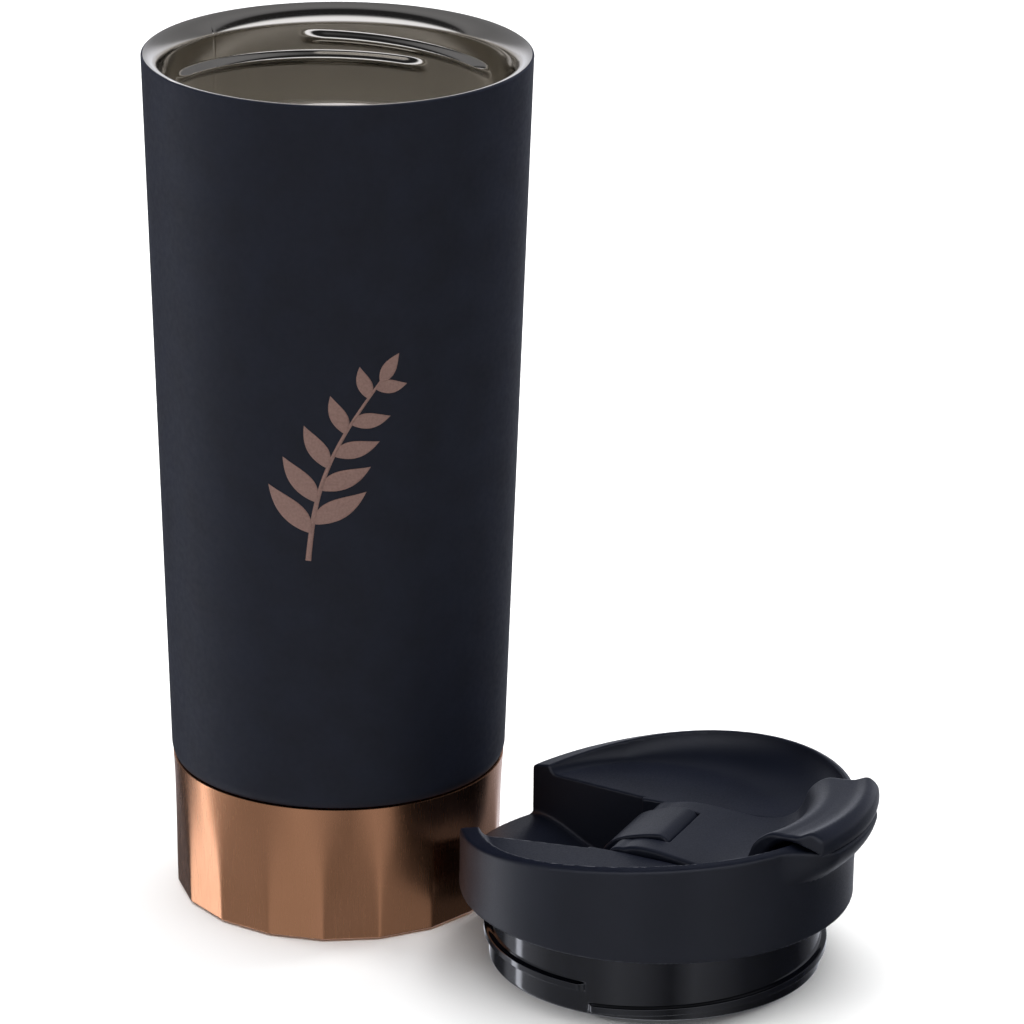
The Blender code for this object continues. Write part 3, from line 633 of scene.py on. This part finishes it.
def plug_surface():
    """Threaded plug as a tube: a straight wall with one raised ridge that climbs once round it.

    The ridge adds RIDGE_RISE smooth((RIDGE_HALF - |z - c|) / RIDGE_SLOPE) e, where c is the height of
    its middle and e fades over its two ends.  The rows of points follow it, so its edges are clean.
    """
    columns = LINER_COLUMNS
    inner = PLUG_RADIUS - PLUG_WALL
    angle = 2.0 * math.pi * np.arange(columns)[:, None] / columns
    part = ((angle - RIDGE_START) % (2.0 * math.pi)) / (2.0 * math.pi)
    middle = RIDGE_LOW + RIDGE_CLIMB * (1.0 - (1.0 - part) ** 2.6)
    offset = np.linspace(-1.15, 1.15, 30)[None, :]
    share = np.linspace(0.0, 1.0, 12, endpoint=False)[None, :]
    foot = PLUG_BOTTOM + 0.5
    crown = PLUG_TOP - 0.3
    below = foot + (middle + offset[0, 0] - foot) * share
    over = middle + offset[0, -1]
    above = over + (crown - over) * np.linspace(0.0, 1.0, 30)[None, 1:]
    ends = smooth(np.minimum(part, 1.0 - part) * 360.0 / RIDGE_FADE)
    raised = PLUG_RADIUS + RIDGE_RISE * ends * smooth((RIDGE_HALF - np.abs(offset)) / RIDGE_SLOPE)
    first = arc((PLUG_RADIUS - 0.5, foot), 0.5, math.radians(-90.0), 0.0, 8)[:-1]
    last = np.vstack([arc((PLUG_RADIUS - 0.3, crown), 0.3, 0.0, math.radians(90.0), 5)[1:],
                      [[inner, PLUG_TOP], [inner, PLUG_BOTTOM + PLUG_FLOOR], [inner, PLUG_BOTTOM]]])
    plain = PLUG_RADIUS + 0.0 * angle
    radius = np.hstack([np.tile(first[:, 0], (columns, 1)), plain + 0.0 * share, raised,
                        plain + np.zeros((1, above.shape[1])), np.tile(last[:, 0], (columns, 1))])
    height = np.hstack([np.tile(first[:, 1], (columns, 1)), below, middle + offset, above,
                        np.tile(last[:, 1], (columns, 1))])
    return turned(radius, height, closed=True)


def plug_floor_field(u, v, z):
    """Field of the plug's floor: a disc pierced for the drink and vent tubes."""
    level = np.maximum(PLUG_BOTTOM - z, z - PLUG_BOTTOM - PLUG_FLOOR)
    body = meet(np.hypot(u, v) - PLUG_RADIUS + PLUG_WALL - 0.05, level, 0.3)
    body = cut(body, well_distance(u, v, z, DRINK_U, DRINK_RADIUS), 0.3)
    return cut(body, well_distance(u, v, z, VENT_U, VENT_RADIUS), 0.3)


def gasket_surface():
    """Silicone ring with a rounded lower face that meets the tumbler's lip."""
    inner = PLUG_RADIUS + 0.4
    outer = SKIRT_INNER - 0.3
    lobe = np.linspace(0.0, math.pi, 16)
    lower = np.stack([0.5 * (inner + outer) - 0.5 * (outer - inner) * np.cos(lobe),
                      -GASKET_DROP * np.sin(lobe) ** 0.6], axis=1)
    return turned(*even_section([lower, np.array([[outer - 0.02, 0.0]])]), closed=True)


def stopper_surface(radius, low, high, round_off):
    """Round stopper with a domed lower end."""
    return turned(*even_section([
        np.array([[0.0, low]]), line((0.3 * radius, low), (radius - round_off, low), 4),
        arc((radius - round_off, low + round_off), round_off, math.radians(-90.0), 0.0, 10),
        np.array([[radius, high], [0.0, high]])], 96), closed=False)


def pin_surface():
    """Drawn pin with a small chamfer at each end, along Z before it is turned to lie along v."""
    half = BARREL_HALF - 0.6
    tip = PIN_RADIUS - PIN_CHAMFER
    run = half - PIN_CHAMFER
    section = np.array([[0.0, -half], [tip, -half], [PIN_RADIUS, -run],
                        [PIN_RADIUS, run], [tip, half], [0.0, half]])
    return turned(*even_section([section], 48), closed=False)


# ---------------------------------------------------------------- ornament
PRINT_MIDDLE = math.radians(-81.5)
PRINT_LOW = 91.0
PRINT_RISE = 47.0
PRINT_PROUD = 0.02
PRINT_THICKNESS = 0.03
LEAF_PAIRS = 5
STEM_END = 0.9               # share of the rise where the stem ends
STEM_POINTS = 60


def leaf_outline(root, direction, length, width, curl):
    """Grid of a leaf's points, t along it and from side to side: its half width is w sin(pi t^0.8)."""
    t = np.linspace(0.0, 1.0, 26)[:, None]
    across = np.linspace(-1.0, 1.0, 9)[None, :]
    half = width * np.sin(math.pi * t**0.8)
    bend = curl * length * np.sin(math.pi * 0.5 * t) ** 2
    along = t * length
    side = across * half + bend
    cos, sin = math.cos(direction), math.sin(direction)
    return np.stack([root[0] + cos * along - sin * side, root[1] + sin * along + cos * side], axis=-1)


def on_wall(grid):
    """Wraps a flat drawing of (across, height) points round the wall, just proud of the paint."""
    radius = wall_radius(grid[..., 1]) + PRINT_PROUD
    angle = PRINT_MIDDLE + grid[..., 0] / radius
    return np.stack([radius * np.cos(angle), radius * np.sin(angle), grid[..., 1]], axis=-1)


def sheet_quads(rows, columns, first):
    """Quads of one open grid of points whose numbers start at first."""
    corner = first + np.arange(rows - 1)[:, None] * columns + np.arange(columns - 1)
    quads = np.stack([corner, corner + 1, corner + columns + 1, corner + columns], axis=-1)
    return quads.reshape(-1, 4).tolist()


def sprig_surface():
    """A curved stem with leaves on both sides that grow shorter towards the tip.

    The stem's middle is x = -11 + 20 t - 5 sin(pi t), z = low + rise t.
    """
    t = np.linspace(0.0, STEM_END, STEM_POINTS)
    stem_x = -11.0 + 20.0 * t - 5.0 * np.sin(math.pi * t)
    stem_z = PRINT_LOW + PRINT_RISE * t
    heading = np.arctan2(np.gradient(stem_z), np.gradient(stem_x))
    width = 0.62 - 0.4 * t
    across = np.linspace(-1.0, 1.0, 3)[None, :]
    stem = np.stack([stem_x[:, None] - across * (width * np.sin(heading))[:, None],
                     stem_z[:, None] + across * (width * np.cos(heading))[:, None]], axis=-1)
    grids = [stem]
    for number in range(LEAF_PAIRS):
        for side in (-1.0, 1.0):
            share = 0.14 + 0.165 * number + 0.05 * (side > 0)
            at = int(share / STEM_END * (STEM_POINTS - 1))
            length = 15.5 - 10.0 * share
            grids.append(leaf_outline((stem_x[at], stem_z[at]), heading[at] - side * 0.72, length,
                                      -side * (2.7 - 1.3 * share), -side * 0.14))
    grids.append(leaf_outline((stem_x[-3], stem_z[-3]), heading[-1], 7.5, 1.6, 0.05))
    points, quads = [], []
    for grid in grids:
        quads += sheet_quads(*grid.shape[:2], sum(len(p) for p in points))
        points.append(on_wall(grid).reshape(-1, 3))
    return np.vstack(points), quads


# ---------------------------------------------------------------- materials
def linear(colour):
    """An sRGB hex colour such as "#23252e" as linear red, green, blue and alpha."""
    channels = [int(colour[i:i + 2], 16) / 255.0 for i in (1, 3, 5)]
    return (*(c / 12.92 if c <= 0.04045 else ((c + 0.055) / 1.055) ** 2.4 for c in channels), 1.0)


def add_node(tree, kind, settings=(), links=()):
    """Adds a node; settings are its properties or input values, links its inputs' sources."""
    made = tree.nodes.new(kind)
    for key, value in dict(settings).items():
        if isinstance(key, str) and hasattr(made, key):
            setattr(made, key, value)
        else:
            made.inputs[key].default_value = value
    for key, source in dict(links).items():
        tree.links.new(source, made.inputs[key])
    return made


def new_material(name, **constants):
    """A material with its Principled shader's constants set on the shader's own sockets."""
    made = bpy.data.materials.new(name)
    made.use_nodes = True
    shader = made.node_tree.nodes["Principled BSDF"]
    for key, value in constants.items():
        shader.inputs[key.replace("_", " ")].default_value = value
    return made.node_tree, shader, made


def grain(tree, size_mm, stretch=(1.0, 1.0, 1.0), detail=2.0, roughness=0.5):
    """Noise whose features are about size_mm across, stretched by a factor along each axis."""
    place = add_node(tree, "ShaderNodeTexCoord")
    scale = [1.0 / (size_mm * MM * s) for s in stretch]
    spread = add_node(tree, "ShaderNodeMapping", {"Scale": scale}, {"Vector": place.outputs["Object"]})
    return add_node(tree, "ShaderNodeTexNoise", {"Scale": 1.0, "Detail": detail, "Roughness": roughness},
                    {"Vector": spread.outputs["Vector"]}).outputs["Fac"]


def uneven_gloss(tree, shader, source, low, high):
    """Roughness from low to high, driven by a source that keeps mostly between 0.3 and 0.7."""
    rough = add_node(tree, "ShaderNodeMapRange",
                     {"From Min": 0.3, "From Max": 0.7, "To Min": low, "To Max": high}, {"Value": source})
    tree.links.new(rough.outputs["Result"], shader.inputs["Roughness"])


def tint(tree, shader, source, first, last):
    """Base colour between two sRGB colours, driven by a source from 0 to 1."""
    ramp = add_node(tree, "ShaderNodeValToRGB", links={"Fac": source})
    ramp.color_ramp.elements[0].color = linear(first)
    ramp.color_ramp.elements[1].color = linear(last)
    ramp.color_ramp.elements[0].position = 0.3
    ramp.color_ramp.elements[1].position = 0.7
    tree.links.new(ramp.outputs["Color"], shader.inputs["Base Color"])


def relief(tree, shader, layers):
    """Bumps in a chain; each layer is (source, depth in mm)."""
    normal = None
    for source, depth in layers:
        links = {"Height": source}
        if normal is not None:
            links["Normal"] = normal
        normal = add_node(tree, "ShaderNodeBump", {"Strength": 1.0, "Distance": depth * MM},
                          links).outputs["Normal"]
    tree.links.new(normal, shader.inputs["Normal"])


def powder_coat():
    """Matt polyester powder coat, sprayed dry and baked: an even, finely pebbled navy black skin."""
    tree, shader, made = new_material("navy_black_powder_coat", Roughness=0.6, IOR=1.5, Metallic=0.0,
                                      Specular_IOR_Level=0.2)
    tint(tree, shader, grain(tree, 9.0, detail=3.0), "#171922", "#1a1d28")
    uneven_gloss(tree, shader, grain(tree, 1.4), 0.57, 0.66)
    relief(tree, shader, [(grain(tree, 0.8, detail=1.0), 0.006), (grain(tree, 0.28, detail=1.0), 0.004)])
    return made


def turned_steel():
    """18/8 stainless steel, spun and polished at the lip and neck, plain drawn finish further down; its
    colour is painted lighter deep inside and darker at the neck, as painted light and painted shade.
    """
    tree, shader, made = new_material("spun_stainless_steel", Metallic=1.0, Roughness=0.2)
    rings = grain(tree, 0.16, stretch=(90.0, 90.0, 1.0), detail=3.0)
    place = add_node(tree, "ShaderNodeTexCoord")
    parts = add_node(tree, "ShaderNodeSeparateXYZ", links={"Vector": place.outputs["Object"]})
    height = parts.outputs["Z"]
    # Painted light and shade: the base colour is lighter deep inside the liner and darker up at the neck,
    # standing in for how light reaches each.
    painted_depth_light = add_node(tree, "ShaderNodeMapRange",
                     {"From Min": (NECK_FOOT + 4.0) * MM, "From Max": (NECK_FOOT + 12.0) * MM,
                      "To Min": 0.3, "To Max": 0.7}, {"Value": height})
    tint(tree, shader, painted_depth_light.outputs["Result"], "#d6d1c7", "#b7b2a9")
    polish = add_node(tree, "ShaderNodeMapRange",
                      {"From Min": (NECK_FOOT - 2.0) * MM, "From Max": (NECK_FOOT + 4.0) * MM,
                       "To Min": 0.62, "To Max": 0.15}, {"Value": height})
    marks = add_node(tree, "ShaderNodeMapRange",
                     {"From Min": 0.3, "From Max": 0.7, "To Min": 0.8, "To Max": 1.2}, {"Value": rings})
    rough = add_node(tree, "ShaderNodeMath", {"operation": "MULTIPLY"},
                     {0: polish.outputs["Result"], 1: marks.outputs["Result"]})
    tree.links.new(rough.outputs["Value"], shader.inputs["Roughness"])
    relief(tree, shader, [(rings, 0.0012), (weld_line(tree, place), 0.02)])
    return made


def weld_line(tree, place):
    """1 on the liner's upright weld line and 0 elsewhere, about 0.6 mm wide."""
    across = add_node(tree, "ShaderNodeMapping", {"Rotation": (0.0, 0.0, -WELD_ANGLE)},
                      {"Vector": place.outputs["Object"]})
    parts = add_node(tree, "ShaderNodeSeparateXYZ", links={"Vector": across.outputs["Vector"]})
    side = add_node(tree, "ShaderNodeMath", {"operation": "ABSOLUTE"}, {0: parts.outputs["Y"]})
    near = add_node(tree, "ShaderNodeMapRange",
                    {"From Min": 0.15 * MM, "From Max": 0.45 * MM, "To Min": 1.0, "To Max": 0.0},
                    {"Value": side.outputs["Value"]})
    front = add_node(tree, "ShaderNodeMath", {"operation": "GREATER_THAN", 1: 0.0},
                     {0: parts.outputs["X"]})
    return add_node(tree, "ShaderNodeMath", {"operation": "MULTIPLY"},
                    {0: near.outputs["Result"], 1: front.outputs["Value"]}).outputs["Value"]


def copper_plate():
    """Copper plated over pressed steel and lacquered: satin, with faint upright polishing marks."""
    tree, shader, made = new_material("satin_copper_plating", Metallic=1.0, Roughness=0.26)
    tint(tree, shader, grain(tree, 22.0, detail=3.0), "#c18a64", "#c9906b")
    marks = grain(tree, 0.22, stretch=(1.0, 1.0, 40.0), detail=3.0)
    uneven_gloss(tree, shader, marks, 0.23, 0.28)
    relief(tree, shader, [(grain(tree, 7.0, detail=1.0), 0.02), (marks, 0.0006)])
    return made


def moulded_polypropylene(name, first, last, rough):
    """Polypropylene injected into a spark-eroded mould: matt black with a fine even grain."""
    tree, shader, made = new_material(name, Roughness=rough, IOR=1.49, Metallic=0.0,
                                      Specular_IOR_Level=0.38)
    tint(tree, shader, grain(tree, 12.0), first, last)
    fine = grain(tree, 0.34, detail=2.0)
    uneven_gloss(tree, shader, fine, rough - 0.05, rough + 0.07)
    relief(tree, shader, [(fine, 0.012)])
    return made


def polished_abs():
    """ABS from a mirror-polished mould: gloss black with barely visible flow waviness."""
    tree, shader, made = new_material("polished_black_abs", Roughness=0.08, IOR=1.53, Metallic=0.0)
    tint(tree, shader, grain(tree, 18.0), "#06070e", "#090b14")
    uneven_gloss(tree, shader, grain(tree, 3.0, detail=4.0), 0.05, 0.12)
    relief(tree, shader, [(grain(tree, 9.0, detail=1.0), 0.010)])
    return made


def silicone(name):
    """Moulded silicone rubber: soft black with a dusty, slightly uneven sheen."""
    tree, shader, made = new_material(name, Roughness=0.62, IOR=1.41, Metallic=0.0)
    tint(tree, shader, grain(tree, 5.0, detail=4.0), "#131317", "#1b1b20")
    relief(tree, shader, [(grain(tree, 0.5), 0.01)])
    return made


def drawn_steel():
    """Cold-drawn stainless steel: bright with fine lengthwise lines."""
    tree, shader, made = new_material("drawn_stainless_steel", Metallic=1.0, Roughness=0.28)
    lines = grain(tree, 0.2, detail=3.0)
    tint(tree, shader, lines, "#a9a7a3", "#bcbab6")
    uneven_gloss(tree, shader, lines, 0.22, 0.34)
    return made


def etched_print():
    """Laser-etched mark: the coat is burnt back to a dull copper-brown layer."""
    tree, shader, made = new_material("etched_copper_brown", Metallic=0.0, Roughness=0.5, IOR=1.45)
    tint(tree, shader, grain(tree, 0.5, detail=3.0), "#81635a", "#8f7066")
    relief(tree, shader, [(grain(tree, 0.3), 0.006)])
    return made


def copper_foil():
    """Rolled copper foil, bright and slightly creased."""
    tree, shader, made = new_material("rolled_copper_foil", Metallic=1.0, Roughness=0.2)
    tint(tree, shader, grain(tree, 10.0), "#c98563", "#d8946f")
    relief(tree, shader, [(grain(tree, 6.0, detail=4.0), 0.15)])
    return made


def bead_foam():
    """Expanded polystyrene, moulded from 3 mm beads."""
    tree, shader, made = new_material("white_bead_foam", Roughness=0.85, IOR=1.3)
    place = add_node(tree, "ShaderNodeTexCoord")
    beads = add_node(tree, "ShaderNodeTexVoronoi", {"Scale": 1.0 / (3.0 * MM)},
                     {"Vector": place.outputs["Object"]}).outputs["Distance"]
    tint(tree, shader, beads, "#f0efeb", "#dcdad4")
    relief(tree, shader, [(beads, -0.3)])
    return made


def sealing_glass():
    """Solder glass melted into a dimple: dark and glossy."""
    tree, shader, made = new_material("sealing_glass", Roughness=0.12, IOR=1.6)
    tint(tree, shader, grain(tree, 1.5, detail=4.0), "#1c201e", "#2c322f")
    return made


def getter_metal():
    """Pressed and sintered metal powder: dull grey and porous."""
    tree, shader, made = new_material("sintered_getter", Metallic=1.0, Roughness=0.7)
    pores = grain(tree, 0.25, detail=3.0)
    tint(tree, shader, pores, "#4a4846", "#6b6966")
    relief(tree, shader, [(pores, 0.05)])
    return made


# ---------------------------------------------------------------- assembly
def build_tumbler(steel, coat):
    """Replaces the tumbler's visible nodes; hidden ones keep their shape, and dress_hidden_nodes gives them
    their material.
    """
    here = Matrix.Identity(4)
    piece("coated_wall", wall_surface(), here, "tumbler", "outer_wall", coat)
    piece("spun_liner", liner_surface(), here, "tumbler", "inner_liner", steel)
    piece("faceted_base", base_surface(), here, "tumbler", "copper_base", copper_plate())
    piece("standing_pad", pad_surface(), here, "tumbler", "base_pad",
          silicone("pad_silicone_rubber"))
    sprig = piece("etched_sprig", sprig_surface(), here, "tumbler", None, etched_print())
    solid = sprig.modifiers.new("thickness", "SOLIDIFY")
    solid.thickness = PRINT_THICKNESS * MM
    solid.offset = 1.0


def build_lid():
    """Replaces the lid's and the lever's nodes with finely moulded shapes."""
    shell_look = moulded_polypropylene("black_moulded_shell", "#0d101a", "#11141f", 0.42)
    lever_look = moulded_polypropylene("black_moulded_lever", "#0e111b", "#121520", 0.40)
    rubber = silicone("seal_silicone_rubber")
    gloss = polished_abs()
    coarse = 1.0
    piece("moulded_shell", moulded(shell_field(), (-45, -45, -14), (50, 45, 25), 0.53 * coarse),
          LID_MATRIX, "lid", "lid_shell", shell_look)
    piece("moulded_lever", moulded(lever_field(), (-8, -20, 5), (50, 20, 28), 0.3 * coarse),
          LID_MATRIX, "lever", "flip_lever", lever_look)
    piece("moulded_clip", moulded(clip_field(), (-10.5, -9.5, 6), (8, 9.5, 16.5), 0.2 * coarse),
          LID_MATRIX, "lid", "hinge_clip", lever_look)
    piece("plug_wall", plug_surface(), LID_MATRIX, "lid", "thread_plug", gloss)
    piece("plug_floor", moulded(plug_floor_field, (-38, -38, -18), (38, 38, -12), 0.6),
          LID_MATRIX, "lid", "thread_plug", gloss)
    piece("gasket_ring", gasket_surface(), LID_MATRIX, "lid_ring", "rim_gasket", rubber)
    drink = LID_MATRIX @ Matrix.Translation((DRINK_U * MM, 0, 0))
    vent = LID_MATRIX @ Matrix.Translation((VENT_U * MM, 0, 0))
    piece("drink_stopper", stopper_surface(*DRINK_STOPPER), drink, "lever", "spout_seal",
          rubber)
    piece("vent_stopper", stopper_surface(*VENT_STOPPER), vent, "lever", "vent_seal",
          rubber)
    along = LID_MATRIX @ Matrix.Translation((HINGE_U * MM, 0, HINGE_Z * MM))
    piece("drawn_pin", pin_surface(), along @ Matrix.Rotation(math.radians(90.0), 4, "X"), "lid",
          "hinge_pin", drawn_steel())


def dress_hidden_nodes(steel):
    """Materials for the CAD nodes that are seen only when the object is taken apart."""
    looks = {"radiation_foil": copper_foil(), "outer_bottom": steel, "vacuum_seal": sealing_glass(),
             "getter_tablet": getter_metal(), "foam_disc": bead_foam()}
    for name, look in looks.items():
        mesh = frame["nodes"][name].data
        mesh.materials.clear()
        mesh.materials.append(look)


# ---------------------------------------------------------------- stage
CAMERA_SPOT = (0.040, -1.18059, 0.5186)
CAMERA_YAW = -0.0012
CAMERA_PITCH = 0.3494
CAMERA_ROLL = 0.0097
CAMERA_LENS = 198.92


def add_camera():
    """Long lens a little above the tumbler's rim, looking down 20 degrees."""
    forward = Vector((math.sin(CAMERA_YAW) * math.cos(CAMERA_PITCH),
                      math.cos(CAMERA_YAW) * math.cos(CAMERA_PITCH), -math.sin(CAMERA_PITCH)))
    level = Vector((math.cos(CAMERA_YAW), -math.sin(CAMERA_YAW), 0.0))
    upright = level.cross(forward)
    right = math.cos(CAMERA_ROLL) * level + math.sin(CAMERA_ROLL) * upright
    up = math.cos(CAMERA_ROLL) * upright - math.sin(CAMERA_ROLL) * level
    data = bpy.data.cameras.new("camera")
    data.lens = CAMERA_LENS
    data.sensor_width = 36.0
    data.clip_start = 0.01
    camera = bpy.data.objects.new("camera", data)
    camera.matrix_world = Matrix.Translation(CAMERA_SPOT) @ Matrix(
        [[right[k], up[k], -forward[k]] for k in range(3)]).to_4x4()
    bpy.context.scene.collection.objects.link(camera)
    bpy.context.scene.camera = camera


def add_softbox(name, spot, aim, size, power):
    """Rectangular area light at a spot, turned to face a point."""
    data = bpy.data.lights.new(name, "AREA")
    data.shape = "RECTANGLE"
    data.size, data.size_y = size
    data.energy = power
    lamp = bpy.data.objects.new(name, data)
    lamp.visible_glossy = False
    lamp.location = spot
    lamp.rotation_euler = (Vector(aim) - Vector(spot)).to_track_quat("-Z", "Y").to_euler()
    bpy.context.scene.collection.objects.link(lamp)


def add_floor():
    """Pale floor that catches shadows and stays out of reflections."""
    mesh = bpy.data.meshes.new("floor")
    mesh.from_pydata([(-4, -4, 0), (4, -4, 0), (4, 4, 0), (-4, 4, 0)], [], [(0, 1, 2, 3)])
    shader, look = new_material("floor", Roughness=0.9, Specular_IOR_Level=0.0)[1:]
    shader.inputs["Base Color"].default_value = linear("#fbfbfb")
    mesh.materials.append(look)
    floor = bpy.data.objects.new("floor", mesh)
    floor.visible_glossy = False
    bpy.context.scene.collection.objects.link(floor)


# Brightness that reflections see, as (degrees, brightness) stops: round the set below the horizon, counted
# from the right towards the back, and above it over the set, counted from the back towards the top
ROUND_LIGHT = ((-180, 0.60), (-168, 0.42), (-150, 0.38), (-132, 0.44), (-117, 0.66), (-100, 0.50),
               (-80, 0.18), (-64, 0.62), (-45, 0.40), (-25, 0.14), (0, 0.05), (25, 0.04), (45, 0.20),
               (60, 0.55), (80, 1.20), (95, 1.15), (110, 0.30), (122, 0.03), (138, 0.10), (146, 0.60),
               (156, 0.80), (157.5, 4.60), (162.5, 4.60), (164, 0.80), (180, 0.60))
OVER_LIGHT = ((-180, 0.50), (0, 1.30), (9, 1.10), (20, 0.32), (45, 0.26), (75, 0.32), (92, 0.26),
              (100, 0.03), (136, 0.03), (142, 0.60), (150, 1.80), (172, 2.00), (180, 0.80))
BACKDROP = 1.0               # what the camera sees past the floor
DEEP_LIGHT = 1.4             # the sky seen by light that has already met one polished face


def light_round(tree, sine, cosine, stops):
    """Brightness in a direction, read from (degrees, brightness) stops by the direction's angle."""
    angle = add_node(tree, "ShaderNodeMath", {"operation": "ARCTAN2"}, {0: sine, 1: cosine})
    share = add_node(tree, "ShaderNodeMapRange", {"From Min": -math.pi, "From Max": math.pi},
                     {"Value": angle.outputs["Value"]})
    ramp = add_node(tree, "ShaderNodeValToRGB", links={"Fac": share.outputs["Result"]})
    peak = max(value for degrees, value in stops)
    elements = ramp.color_ramp.elements
    for _ in stops[2:]:
        elements.new(0.5)
    for element, (degrees, value) in zip(elements, stops):
        element.position = (degrees + 180.0) / 360.0
        element.color = (value / peak, value / peak, value / peak, 1.0)
    return add_node(tree, "ShaderNodeMath", {"operation": "MULTIPLY", 1: peak},
                    {0: ramp.outputs["Color"]}).outputs["Value"]


def studio_sky():
    """Soft light that is brighter behind and to the left; reflections see brightness ramps in the sky that
    stand in for the set's panels and flags.

    Below the horizon they are read round the set, above it over the set from back to front.
    """
    world = bpy.data.worlds.new("studio")
    bpy.context.scene.world = world
    world.use_nodes = True
    tree = world.node_tree
    place = add_node(tree, "ShaderNodeTexCoord")
    way = add_node(tree, "ShaderNodeSeparateXYZ", links={"Vector": place.outputs["Generated"]}).outputs
    back = add_node(tree, "ShaderNodeMapRange",
                    {"From Min": -0.6, "From Max": 0.8, "To Min": 0.02, "To Max": 0.06}, {"Value": way["Y"]})
    left = add_node(tree, "ShaderNodeMapRange",
                    {"From Min": -0.7, "From Max": 0.7, "To Min": 1.0, "To Max": 0.6}, {"Value": way["X"]})
    soft = add_node(tree, "ShaderNodeMath", {"operation": "MULTIPLY"},
                    {0: back.outputs["Result"], 1: left.outputs["Result"]})
    beside = light_round(tree, way["Y"], way["X"], ROUND_LIGHT)
    over = light_round(tree, way["Z"], way["Y"], OVER_LIGHT)
    above = add_node(tree, "ShaderNodeMapRange", {"From Min": -0.06, "From Max": 0.10}, {"Value": way["Z"]})
    path = add_node(tree, "ShaderNodeLightPath")
    deep = add_node(tree, "ShaderNodeMapRange", {"From Min": 1.4, "From Max": 1.6, "To Max": DEEP_LIGHT},
                    {"Value": path.outputs["Glossy Depth"]})
    high = add_node(tree, "ShaderNodeMath", {"operation": "MAXIMUM"}, {0: over, 1: deep.outputs["Result"]})
    seen = add_node(tree, "ShaderNodeMix", {"data_type": "FLOAT"},
                    {"Factor": above.outputs["Result"], "A": beside, "B": high.outputs["Value"]})
    lit = add_node(tree, "ShaderNodeMix", {"data_type": "FLOAT", "B": BACKDROP},
                   {"Factor": path.outputs["Is Camera Ray"], "A": soft.outputs["Value"]})
    both = add_node(tree, "ShaderNodeMix", {"data_type": "FLOAT"},
                    {"Factor": path.outputs["Is Glossy Ray"], "A": lit.outputs["Result"],
                     "B": seen.outputs["Result"]})
    tree.nodes["Background"].inputs["Color"].default_value = linear("#f1f4ff")
    tree.links.new(both.outputs["Result"], tree.nodes["Background"].inputs["Strength"])


def light_stage():
    """Pale floor, soft boxes that light the set, and a sky that holds what reflections see."""
    add_floor()
    studio_sky()
    add_softbox("top_box", (0.0, 0.35, 1.5), (0.0, 0.35, 0.0), (1.8, 1.8), 42.0)
    add_softbox("left_back_box", (-1.0, 0.42, 0.45), (0.0, 0.0, 0.08), (0.5, 0.9), 7.0)
    add_softbox("left_front_box", (-0.8, -0.9, 0.7), (0.0, 0.0, 0.1), (0.5, 0.5), 2.0)
    add_softbox("right_back_box", (0.9, 0.55, 0.45), (0.05, 0.0, 0.08), (0.3, 0.9), 9.0)


def set_view():
    """Plain display of colours, without a film curve."""
    bpy.context.scene.view_settings.view_transform = "Standard"


set_view()
add_camera()
light_stage()
STEEL = turned_steel()
build_tumbler(STEEL, powder_coat())
build_lid()
dress_hidden_nodes(STEEL)
